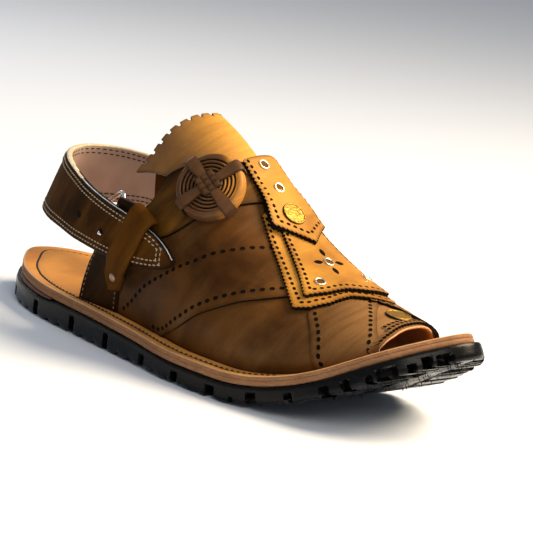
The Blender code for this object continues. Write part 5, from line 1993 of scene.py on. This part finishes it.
# ---- the sling at the heel ------------------------------------------------------------------------
@dataclass
class HeelSling:
    """The sling strap with its lining and stitching, two ears, the keeper, rivet and buckle."""

    maker: Maker
    thick: float = 3.0
    crown: float = 0.3
    # x, y of the outer face in plan, top edge, bottom edge, lean of the top towards the foot
    rows: Rows = (
        (158, -48.6, 55.4, 52.4, 0), (152, -48.6, 60.4, 49.4, 0), (142, -48.2, 64.9, 46.9, 0),
        (127, -47, 67.9, 45.4, 0.5), (112, -45.2, 69.9, 44.9, 1), (95, -41, 71.4, 44.9, 1.5),
        (76, -35, 73.4, 44.9, 2.5), (56, -27.5, 76.6, 45.9, 4), (36, -17.5, 78.7, 46.6, 7),
        (20, -4, 80.1, 47.8, 10), (14.5, 10, 80.7, 48.3, 10), (19, 22, 81.2, 49.3, 8),
        (31, 31.5, 81.2, 50.8, 5), (50, 36, 80.6, 52.8, 3), (75, 37, 78.1, 50.8, 1.5),
        (100, 35.5, 73.7, 47.6, 1), (118, 35, 70.1, 45.4, 0.5),
    )
    lining_from: float = 0.11
    lining_to: float = 0.825
    grey_to: float = 0.40
    lip_dark: Triple = (0.46, 0.43, 0.40)      # where three steps of the lip turn from dark to pale
    row_insets: tuple[float, float] = (2.3, 4.6)
    stitch_pitch: float = 3.15
    stitch_thick: float = 0.7
    # rows across the tip: way along, distance from both edges, stitches
    tip_rows: tuple[tuple[float, float, int], ...] = ((0.074, 2.6, 4), (0.092, 4.9, 3))
    holes: Rows = ((0.377, 0.45), (0.290, 0.40))      # way along, share up
    # height over the insole, x of the rear edge, x of the front edge
    ear_outer: Rows = (
        (0, 84.5, 112.5), (8, 84, 113.8), (16, 85, 116.5), (26, 89.5, 121), (42, 99, 127),
        (50, 104.5, 127), (57, 108.5, 123),
    )
    ear_inner: Rows = ((0, 88, 114), (10, 89, 115), (25, 91, 116.5), (42, 93, 116.5))
    ear_foot: tuple[float, float] = (-37.0, 27.0)
    ear_thick: float = 2.0
    ear_lean_to: float = 28.0
    ear_clear: float = 1.3
    ear_inset: float = 1.9
    ear_pitch: float = 2.7
    keeper_width: float = 15.5
    keeper_lean: float = math.radians(27.0)
    keeper_at: tuple[float, float] = (127.0, 56.4)
    keeper_rivet: float = -22.0
    # radius, height
    rivet: Rows = (
        (0, 0.9), (0.6, 0.86), (1.2, 0.72), (1.8, 0.45), (2.2, 0.18), (2.35, 0), (2.35, -0.3), (0, -0.3),
    )
    # place up the keeper's axis, y of its inner face, half width as a share, half thickness
    keeper_rows: Rows = (
        (-30, -43.1, 0.04, 0.8), (-27, -43.5, 0.29, 0.95), (-24, -43.8, 0.5, 1), (-18, -45.8, 0.5, 1),
        (-13, -48, 0.5, 1), (-7, -48.4, 0.5, 1), (2, -48.6, 0.5, 1), (11, -48.8, 0.5, 1),
        (15, -48.3, 0.5, 1), (17, -46.5, 0.5, 1), (16.5, -44.4, 0.5, 0.9), (13, -43.8, 0.5, 0.6),
        (4, -43.9, 0.5, 0.5), (-6, -44, 0.5, 0.5),
    )
    buckle_wire: float = 1.0
    buckle_size: tuple[float, float] = (18.0, 28.0)
    buckle_corner: float = 3.0
    buckle_at: Triple = (104.3, -34.9, 59.9)
    buckle_turn: float = math.radians(30.0)
    buckle_plan: tuple[float, float] = (0.962, -0.272)

    def frame(self, way: Array) -> tuple[Array, Array, Array, Array, Array, Array]:
        """The strap's table at shares of the way, and the inward direction in plan.

        Args:
            way: Share of the way along the sling.

        Returns:
            x, y, top, bottom, lean and the direction.
        """
        knots = np.linspace(0, 1, len(self.rows))
        x, y, top, bottom, lean = (through(knots, column(self.rows, k), way) for k in range(5))
        before, after = (np.stack([through(knots, column(self.rows, k), np.clip(way + step, 0, 1))
                                   for k in (0, 1)], axis=-1) for step in (-1e-3, 1e-3))
        ahead = unit(after - before)
        return x, y, top, bottom, lean, np.stack([ahead[..., 1], -ahead[..., 0]], axis=-1)

    def surface(self, way: Array, share: Array, depth: Array, rise: Number = 0.0) -> Array:
        """Points of the strap: share 0 at the bottom edge to 1 at the top, depth inwards.

        Args:
            way: Share of the way along the sling.
            share: Share of the height.
            depth: Distance in from the outer face.
            rise: Distance over the share's height.

        Returns:
            The points.
        """
        x, y, top, bottom, lean, inward = self.frame(way)
        shift = depth + lean * (share - 0.5)
        return np.stack([x + inward[..., 0] * shift, y + inward[..., 1] * shift,
                         bottom + (top - bottom) * share + rise], axis=-1)

    def make_strap(self) -> None:
        """A closed profile carried along the sling.

        Its outer face is crowned by a parabola, its edges are rounded in six steps, and each part
        of the profile has its own finish: leather, pale top edge with a painted highlight along its
        crest, lining, dark bottom edge.
        """
        maker = self.maker
        up = np.linspace(0, 1, 11)
        face = np.stack([up, 0.9 * (1 - 2 * up), -self.crown * (1 - (2 * up - 1) ** 2)], axis=1)
        lip = np.array(((1.0, -0.34, 0.10), (1.0, -0.14, 0.42), (1.0, -0.02, 0.95), (1.0, 0.0, 1.6),
                        (1.0, -0.05, 2.3), (1.0, -0.32, 2.88)))
        back = np.stack([up[::-1], 0.9 * (1 - 2 * up[::-1]), np.full(11, self.thick)], axis=1)
        foot = lip[::-1] * (0.0, -1.0, 1.0)
        profile = np.concatenate([face, lip, back, foot])
        leather, top_edge, lining, dark_edge, crest = range(5)
        segment = np.repeat([leather, top_edge, lining, dark_edge], [11, 6, 11, 6])
        segment[10] = dark_edge
        way = np.linspace(0, 1, 241)[:, None]
        top, bottom = self.frame(way)[2:4]
        squeeze = np.clip((top - bottom) / 8.0, 0.2, 1.0)
        share, rise, depth = (profile[None, :, k] for k in range(3))
        points = self.surface(np.broadcast_to(way, (241, len(profile))), share, depth, rise * squeeze)
        finish = np.tile(segment, (240, 1))
        middle = (way[:-1] + way[1:]) / 2
        unlined = (middle < self.lining_from) | (middle > self.lining_to)
        finish = np.where((finish == lining) & unlined, leather, finish)
        step = np.arange(len(profile))[None, :]
        dark_to = np.select([step == 15, step == 14, step == 13], self.lip_dark, self.grey_to)
        finish = np.where((finish == top_edge) & (middle < dark_to), dark_edge, finish)
        # The lip's middle step is the painted highlight, a pale bluish line along the whole crest.
        finish = np.where(step == 12, crest, finish)
        near = (top - bottom) * np.minimum(share, 1 - share)
        shell = maker.shell()
        shell.grid(points, finish.reshape(-1), wrap=True, edge=near)
        shell.cap(points[0], 0.5, dark_edge)
        shell.cap(points[-1], 0.5, dark_edge)
        maker.keep(shell, "heel_sling", "strap_leather", "heel_strap",
                   (Stuff.STRAP, Stuff.PALE_EDGE, Stuff.LINING, Stuff.BLACK_EDGE, Stuff.PAINTED_HIGHLIGHT_EDGE), 60)

    def spots(self, way: Array, share: Array, inner: bool) -> tuple[Array, Array, Array]:
        """Places on the strap's face with their directions along it and off it.

        Args:
            way: Share of the way along the sling.
            share: Share of the height.
            inner: Whether on the lining.

        Returns:
            Places, directions along, directions off.
        """
        depth = np.full_like(way, self.thick) if inner else -self.crown * (1 - (2 * share - 1) ** 2)
        place = self.surface(way, share, depth)
        step = 1e-3
        along = unit(self.surface(way + step, share, depth) - self.surface(way - step, share, depth))
        up = self.surface(way, share + 0.02, depth) - self.surface(way, share - 0.02, depth)
        inward = self.frame(way)[5]
        off = unit(np.cross(along, up))
        towards = np.sum(off[:, :2] * inward, axis=1) * (1.0 if inner else -1.0)
        return place, along, off * np.sign(towards)[:, None]

    def run_stitches(self, shell: Shell, inset: float, from_top: bool, inner: bool,
                     start: float, end: float) -> None:
        """One row of stitches at an even inset from the top or the bottom edge.

        Args:
            shell: Where it goes.
            inset: Distance from the edge.
            from_top: Which edge.
            inner: Whether on the lining.
            start: Way where the row starts.
            end: Way where it ends.
        """
        way = np.linspace(start, end, 2000)
        top, bottom = self.frame(way)[2:4]
        share = inset / (top - bottom)
        share = 1 - share if from_top else share
        run = cumulative(self.spots(way, share, inner)[0])
        stops = np.linspace(0.5, run[-1] - 0.5, int(run[-1] / self.stitch_pitch))
        at, up = np.interp(stops, run, way), np.interp(stops, run, share)
        length = self.stitch_pitch * (0.86 if inner else 0.66)
        shell.studs(stitch(length, self.stitch_thick), *self.spots(at, up, inner))

    def make_stitching(self) -> None:
        """Double rows along both edges: cream outside, dark on the lining, joined at the tip."""
        maker = self.maker
        cream, dark = maker.shell(), maker.shell()
        for number, inset in enumerate(self.row_insets):
            start = self.tip_rows[number][0]
            for from_top in (True, False):
                self.run_stitches(cream, inset, from_top, False, start, 0.985)
                self.run_stitches(dark, inset, from_top, True, 0.30, self.lining_to - 0.004)
        for way, low, count in self.tip_rows:
            top, bottom = self.frame(np.array(way))[2:4]
            margin = low / float(top - bottom)
            share = np.linspace(margin, 1 - margin, count)
            place, _, off = self.spots(np.full(count, way), share, False)
            cream.studs(stitch(1.9, 0.62), place, np.gradient(place, axis=0), off)
        maker.keep(cream, "sling_stitching", None, None, (Stuff.CREAM_THREAD,))
        maker.keep(dark, "lining_stitching", None, None, (Stuff.DARK_THREAD,))

    def make_holes(self) -> None:
        """The buckle holes, and the prong's tip in the one that is used."""
        maker = self.maker
        place, along, off = self.spots(column(self.holes, 0), column(self.holes, 1), False)
        shell = maker.shell()
        shell.studs(punched(5.4, 3.7), place, along, off)
        maker.keep(shell, "sling_holes", "strap_leather", None, (Stuff.STRAP, Stuff.HOLE_SHADE))
        shell = maker.shell()
        down = off[1] * 0.25 + along[1] * 0.35 - np.array((0.0, 0.0, 0.75))
        shell.studs(stitch(2.6, 1.5), place[1:] + down, along[1:] + np.array((0.0, 0.0, 0.9)), off[1:])
        maker.keep(shell, "prong_tip", "chrome", None, (Stuff.CHROME,))

    def strap_back(self, x: Array, outer_side: bool) -> Array:
        """y of the strap's inner face at x on one side of the foot.

        Args:
            x: Distance from the back of the heel.
            outer_side: Which side of the foot.

        Returns:
            The values of y.
        """
        turn = int(np.argmin(column(self.rows, 0)))
        rows = self.rows[:turn + 1][::-1] if outer_side else self.rows[turn:]
        return read(rows, 1, x) + (self.thick if outer_side else -self.thick)

    def ear_point(self, table: Rows, outer_side: bool, height: Array, across: Array,
                  depth: float = 0.0) -> Array:
        """Points of an ear.

        y goes from the foot's place to the strap's inner face as a quarter sine of the height.

        Args:
            table: Height, rear x and front x.
            outer_side: Which side of the foot.
            height: Over the insole.
            across: 0 at the rear edge, 1 at the front edge.
            depth: Into the ear from its outer face.

        Returns:
            The points.
        """
        out = -1.0 if outer_side else 1.0
        rear, front = (read(table, k, height) for k in (1, 2))
        x = between(rear, front, across)
        strap = self.strap_back(x, outer_side) - out * self.ear_clear
        y = between(self.ear_foot[0 if outer_side else 1], strap,
                    np.sin(np.pi / 2 * np.minimum(height / self.ear_lean_to, 1)))
        z = self.maker.sole.bed(x) - 0.2 + height * 1.008
        return np.stack(np.broadcast_arrays(x, y - out * depth, z), axis=-1)

    def make_ear(self, name: str, node: str, table: Rows, outer_side: bool) -> None:
        """An upright strip with a rounded rim and a row of stitches at both edges.

        Args:
            name: Its name.
            node: Its CAD node.
            table: Height, rear x and front x.
            outer_side: Which side of the foot.
        """
        maker = self.maker
        height = np.linspace(0, table[-1][0], 81)[:, None]
        across = np.linspace(0, 1, 37)[None, :]
        shell = maker.shell()
        shell.slab(self.ear_point(table, outer_side, height, across),
                   self.ear_point(table, outer_side, height, across, self.ear_thick), (0, 1, 2))
        maker.keep(shell, name, "upper_leather", node, (Stuff.EAR, Stuff.BROWN_EDGE, Stuff.INSIDE), 60)

        shell = maker.shell()
        high = np.linspace(1.5, table[-1][0] - 2.0, 400)
        rear, front = (read(table, k, high) for k in (1, 2))
        inset = self.ear_inset / (front - rear)
        for share in (inset, 1 - inset):
            line = self.ear_point(table, outer_side, high, share)
            beside = self.ear_point(table, outer_side, high, share + 0.03)
            run = cumulative(line)
            stops = np.arange(0.8, run[-1] - 0.5, self.ear_pitch)
            place, near = at_lengths(line, run, stops), at_lengths(beside, run, stops)
            ahead = unit(np.gradient(place, axis=0))
            off = unit(np.cross(ahead, near - place))
            off = off * np.sign(off[:, 1:2] * (-1.0 if outer_side else 1.0))
            shell.studs(stitch(1.7, 0.5), place, ahead, off)
        maker.keep(shell, name + "_stitching", None, None, (Stuff.BROWN_THREAD,))

    def make_keeper(self) -> None:
        """The loop: up the strap's outer face, over its top edge, and down behind it."""
        maker = self.maker
        up = np.array((math.sin(self.keeper_lean), 0.0, math.cos(self.keeper_lean)))
        across = np.array((math.cos(self.keeper_lean), 0.0, -math.sin(self.keeper_lean)))
        centre = np.array((self.keeper_at[0], 0.0, self.keeper_at[1]))
        knots = knots_of(self.keeper_rows)
        fine = np.linspace(0, knots[-1], 181)
        a, y, width, half = (through(knots, column(self.keeper_rows, k), fine) for k in range(4))
        inner = centre + a[:, None] * up + y[:, None] * np.array((0.0, 1.0, 0.0))
        ahead = unit(np.gradient(inner, axis=0))
        out = unit(np.cross(ahead, across))
        out = out if out[90, 1] < 0 else -out
        spine = inner + out * half[:, None]
        half_width = width * self.keeper_width
        band = rounded_band(spine, np.broadcast_to(across, spine.shape), out, half_width, half, crown=0.1)
        shell = maker.shell()
        shell.tube(band, band_edges(half_width))
        maker.keep(shell, "keeper_loop", "upper_leather", "keeper", (Stuff.STRAP,), 50)

        spot = int(np.argmin(np.abs(a[:80] - self.keeper_rivet)))
        seat = spine[spot] + out[spot] * (half[spot] + 0.1)
        shell = maker.shell()
        lathe(shell, self.rivet, seat, out[spot], 24)
        maker.keep(shell, "keeper_rivet", "eyelet_metal", "ear_rivet", (Stuff.COPPER,), 50)

    def make_buckle(self) -> None:
        """A ring of round wire on a rectangle with rounded corners."""
        maker = self.maker
        long, wide = (size / 2 - self.buckle_corner for size in self.buckle_size)
        bends = [np.linspace(0, np.pi / 2, 9) + k * np.pi / 2 for k in range(4)]
        plan = np.concatenate([np.stack([sx * long + self.buckle_corner * np.cos(bend),
                                         sz * wide + self.buckle_corner * np.sin(bend)], axis=1)
                               for bend, (sx, sz) in zip(bends, ((1, 1), (-1, 1), (-1, -1), (1, -1)))])
        level = np.array((*self.buckle_plan, 0.0))
        ahead = math.cos(self.buckle_turn) * level + np.array((0.0, 0.0, math.sin(self.buckle_turn)))
        flat = np.array((-self.buckle_plan[1], self.buckle_plan[0], 0.0))
        up = np.cross(ahead, flat)
        centres = np.array(self.buckle_at) + plan[:, :1] * ahead + plan[:, 1:] * up
        along = unit(np.roll(centres, -1, axis=0) - np.roll(centres, 1, axis=0))
        out = np.cross(along, flat)
        turn = circle(14)
        rings = (centres[:, None] + self.buckle_wire * (np.cos(turn)[None, :, None] * out[:, None]
                                                       + np.sin(turn)[None, :, None] * flat))
        shell = maker.shell()
        shell.grid(np.concatenate([rings, rings[:1]]), wrap=True)
        maker.keep(shell, "buckle_frame", "chrome", "buckle", (Stuff.CHROME,), 60)

    def make(self) -> None:
        """Make the sling and everything on it."""
        self.make_strap()
        self.make_stitching()
        self.make_holes()
        self.make_ear("ear_outer_side", "ear_outer", self.ear_outer, True)
        self.make_ear("ear_inner_side", "ear_inner", self.ear_inner, False)
        self.make_keeper()
        self.make_buckle()


def lathe(shell: Shell, profile: Rows, seat: Array, axis: Array, sides: int, finish: int = 0) -> None:
    """Add a profile of radius and height turned round an axis through the seat.

    Args:
        shell: Where it goes.
        profile: Rows of radius and height.
        seat: Point on the axis at height 0.
        axis: Direction of the axis.
        sides: Points round it.
        finish: Finish number.
    """
    first = unit(np.cross((0.0, 1.0, 0.0) if abs(axis[1]) < 0.9 else (1.0, 0.0, 0.0), axis))
    second = np.cross(axis, first)
    turn = circle(sides)
    spoke = np.cos(turn)[:, None] * first + np.sin(turn)[:, None] * second
    rows = np.asarray(profile, dtype=float)
    shell.grid(seat + rows[:, 0, None, None] * spoke[None] + rows[:, 1, None, None] * axis[None, None],
               finish, wrap=True)


# ---- small metal ----------------------------------------------------------------------------------
@dataclass
class Fittings:
    """Two bare badges and five eyelets. Each profile is rows of radius and height."""

    maker: Maker
    badge_radius: float = 6.2
    # name, node, x, girth, height of the seat over the last
    badges: tuple[tuple[str, str, float, float, float], ...] = (
        ("badge_toe", "toe_badge", 255.0, 1.2, 0.1),
        ("badge_flap", "flap_badge", 182.0, -4.4, 6.1),
    )
    eyelets: tuple[tuple[str, str, float, float, float], ...] = (
        ("eyelet_ring_flap_rear", "eyelet_flap_rear", 159.0, -4.2, 4.0),
        ("eyelet_ring_flap_front", "eyelet_flap_front", 170.0, -3.8, 4.75),
        ("eyelet_ring_middle", "eyelet_middle", 209.0, -2.6, 3.8),
        ("eyelet_ring_outer", "eyelet_outer", 220.0, -17.5, 3.8),
        ("eyelet_ring_inner", "eyelet_inner", 220.0, 13.0, 3.8),
    )

    def seat(self, x: float, girth: float, lift: float) -> tuple[Array, Array]:
        """Seat point and normal on the last."""
        place = (np.array([x]), np.array([girth]))
        return self.maker.last.lifted(*place, lift)[0], self.maker.last.normal(*place)[0]

    def make(self) -> None:
        """Badges are shallow domes inside a raised rim; eyelets are rolled rings over a floor of leather
        painted dark as the shade in the hole.
        """
        maker = self.maker
        r = self.badge_radius
        badge = ((0.0, 0.62), (1.5, 0.61), (3.0, 0.57), (4.3, 0.49), (r - 1.15, 0.42), (r - 0.95, 0.44),
                 (r - 0.8, 0.72), (r - 0.5, 0.84), (r - 0.2, 0.72), (r - 0.05, 0.5))
        skirt = ((r - 0.05, 0.5), (r, 0.36), (r, -0.3), (0.0, -0.3))
        for name, node, x, girth, lift in self.badges:
            shell = maker.shell()
            lathe(shell, badge, *self.seat(x, girth, lift), 64)
            lathe(shell, skirt, *self.seat(x, girth, lift), 64, 1)
            maker.keep(shell, name, "brass", node, (Stuff.BRASS, Stuff.BLACK_EDGE), 50)
        ring = tuple((2.4 + 0.5 * math.cos(a), 0.30 + 0.42 * math.sin(a))
                     for a in np.linspace(np.pi * 1.12, -np.pi * 0.12, 12))
        ring = ((1.85, -0.3),) + ring + ((2.85, -0.3),)
        floor = ((0.0, 0.10), (0.9, 0.10), (1.98, 0.12))
        for name, node, x, girth, lift in self.eyelets:
            shell = maker.shell()
            seat, axis = self.seat(x, girth, lift)
            lathe(shell, ring, seat, axis, 36)
            lathe(shell, floor, seat, axis, 36, 1)
            maker.keep(shell, name, "eyelet_metal", node, (Stuff.NICKEL, Stuff.DEEP), 60)


# ---- the room -------------------------------------------------------------------------------------
@dataclass
class Studio:
    """A pale floor, soft lights and the camera. Lengths here are in metres."""

    aim: Triple = (-0.0002, 0.0033, 0.0134)
    turn: float = math.radians(44.505)
    rise: float = math.radians(13.499)
    roll: float = math.radians(7.7525)
    distance: float = 1.3153
    lens: float = 181.3
    slide: tuple[float, float] = (0.0221, 0.0332)    # the view's middle, right of and over the aim
    floor_size: float = 12.0
    floor_colour: Colour = (0.70, 0.76, 0.88)
    sky: Colour = (0.93, 0.97, 1.0)
    sky_strength: float = 0.32
    lit: Triple = (0.02, 0.0, 0.05)                  # what the lights are aimed at
    # name, place as right, up and back of that point, width, power in watts, colour
    lights: tuple[tuple[str, Triple, float, float, Colour], ...] = (
        ("key", (0.92, 0.78, 0.18), 0.75, 36.0, (1.0, 0.80, 0.54)),
        ("rim", (-0.6, 1.0, -0.85), 0.5, 3.5, (0.95, 0.98, 1.0)),
        ("front", (0.35, 0.5, 1.1), 0.6, 5.5, (1.0, 0.90, 0.76)),
    )

    def axes(self) -> tuple[Vector, Vector, Vector]:
        """Right, up and back of the rolled camera.

        Returns:
            The three directions.
        """
        back = Vector((math.sin(self.turn) * math.cos(self.rise), -math.cos(self.turn) * math.cos(self.rise),
                       math.sin(self.rise)))
        level = Vector((math.cos(self.turn), math.sin(self.turn), 0.0))
        up = back.cross(level)
        right = level * math.cos(self.roll) + up * math.sin(self.roll)
        return right, back.cross(right), back

    def make_camera(self) -> None:
        """Look from the aim's far end at a point slid to the view's middle."""
        right, up, back = self.axes()
        aim = Vector(self.aim)
        eye = aim + back * self.distance
        middle = aim + right * self.slide[0] + up * self.slide[1]
        behind = (eye - middle).normalized()
        sideways = (right - behind * right.dot(behind)).normalized()
        data = bpy.data.cameras.new("camera")
        data.lens = self.lens
        data.sensor_width = 36.0
        data.clip_start, data.clip_end = 0.05, 50.0
        camera = placed("camera", data)
        turned = Matrix((sideways, behind.cross(sideways), behind)).transposed().to_4x4()
        camera.matrix_world = Matrix.Translation(eye) @ turned
        bpy.context.scene.camera = camera

    def add_light(self, name: str, place: Triple, size: float, power: float, colour: Colour) -> None:
        """An area light at a place given as right, up and back of the point that it is aimed at.

        Args:
            name: Its name.
            place: Right, up and back of that point.
            size: Width of its disc.
            power: Its power in watts.
            colour: Its colour.
        """
        right, up, back = self.axes()
        target = Vector(self.lit)
        where = target + right * place[0] + up * place[1] + back * place[2]
        data = bpy.data.lights.new(name, "AREA")
        data.shape = "DISK"
        data.size = size
        data.energy = power
        data.color = colour
        light = placed(name, data)
        light.location = where
        light.rotation_euler = (where - target).to_track_quat("Z", "Y").to_euler()

    def make_floor(self) -> None:
        """A wide pale floor."""
        half = self.floor_size / 2
        mesh = bpy.data.meshes.new("floor")
        mesh.from_pydata([(-half, -half, 0), (half, -half, 0), (half, half, 0), (-half, half, 0)], [],
                         [(0, 1, 2, 3)])
        n = Nodes("pale floor")
        n.set(Base_Color=self.floor_colour, Roughness=0.9, Specular_IOR_Level=0.1)
        mesh.materials.append(n.material)
        floor = placed("floor", mesh)

    def make(self) -> None:
        """Set up the camera, the floor, the sky and the lights."""
        self.make_camera()
        self.make_floor()
        world = bpy.data.worlds.new("studio")
        world.use_nodes = True
        sky = world.node_tree.nodes["Background"]
        sky.inputs["Color"].default_value = (*self.sky, 1.0)
        sky.inputs["Strength"].default_value = self.sky_strength
        bpy.context.scene.world = world
        bpy.context.scene.view_settings.view_transform = "Standard"
        for light in self.lights:
            self.add_light(*light)


def main() -> None:
    """Build the sandal's pieces in the order in which a maker puts them together."""
    logging.basicConfig(level=logging.INFO, format="%(message)s")
    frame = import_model()
    sole = SoleForm()
    maker = Maker(Bench(sole), sole, Last(sole))
    SoleUnit(maker).make(frame["nodes"])
    Upper(maker).make()
    Tongue(maker).make()
    CrossBand(maker).make()
    Panels(maker).make()
    Medallion(maker).make()
    HeelSling(maker).make()
    Fittings(maker).make()
    Studio().make()
    LOG.info("sandal: finished")


if __name__ == "__main__":
    main()
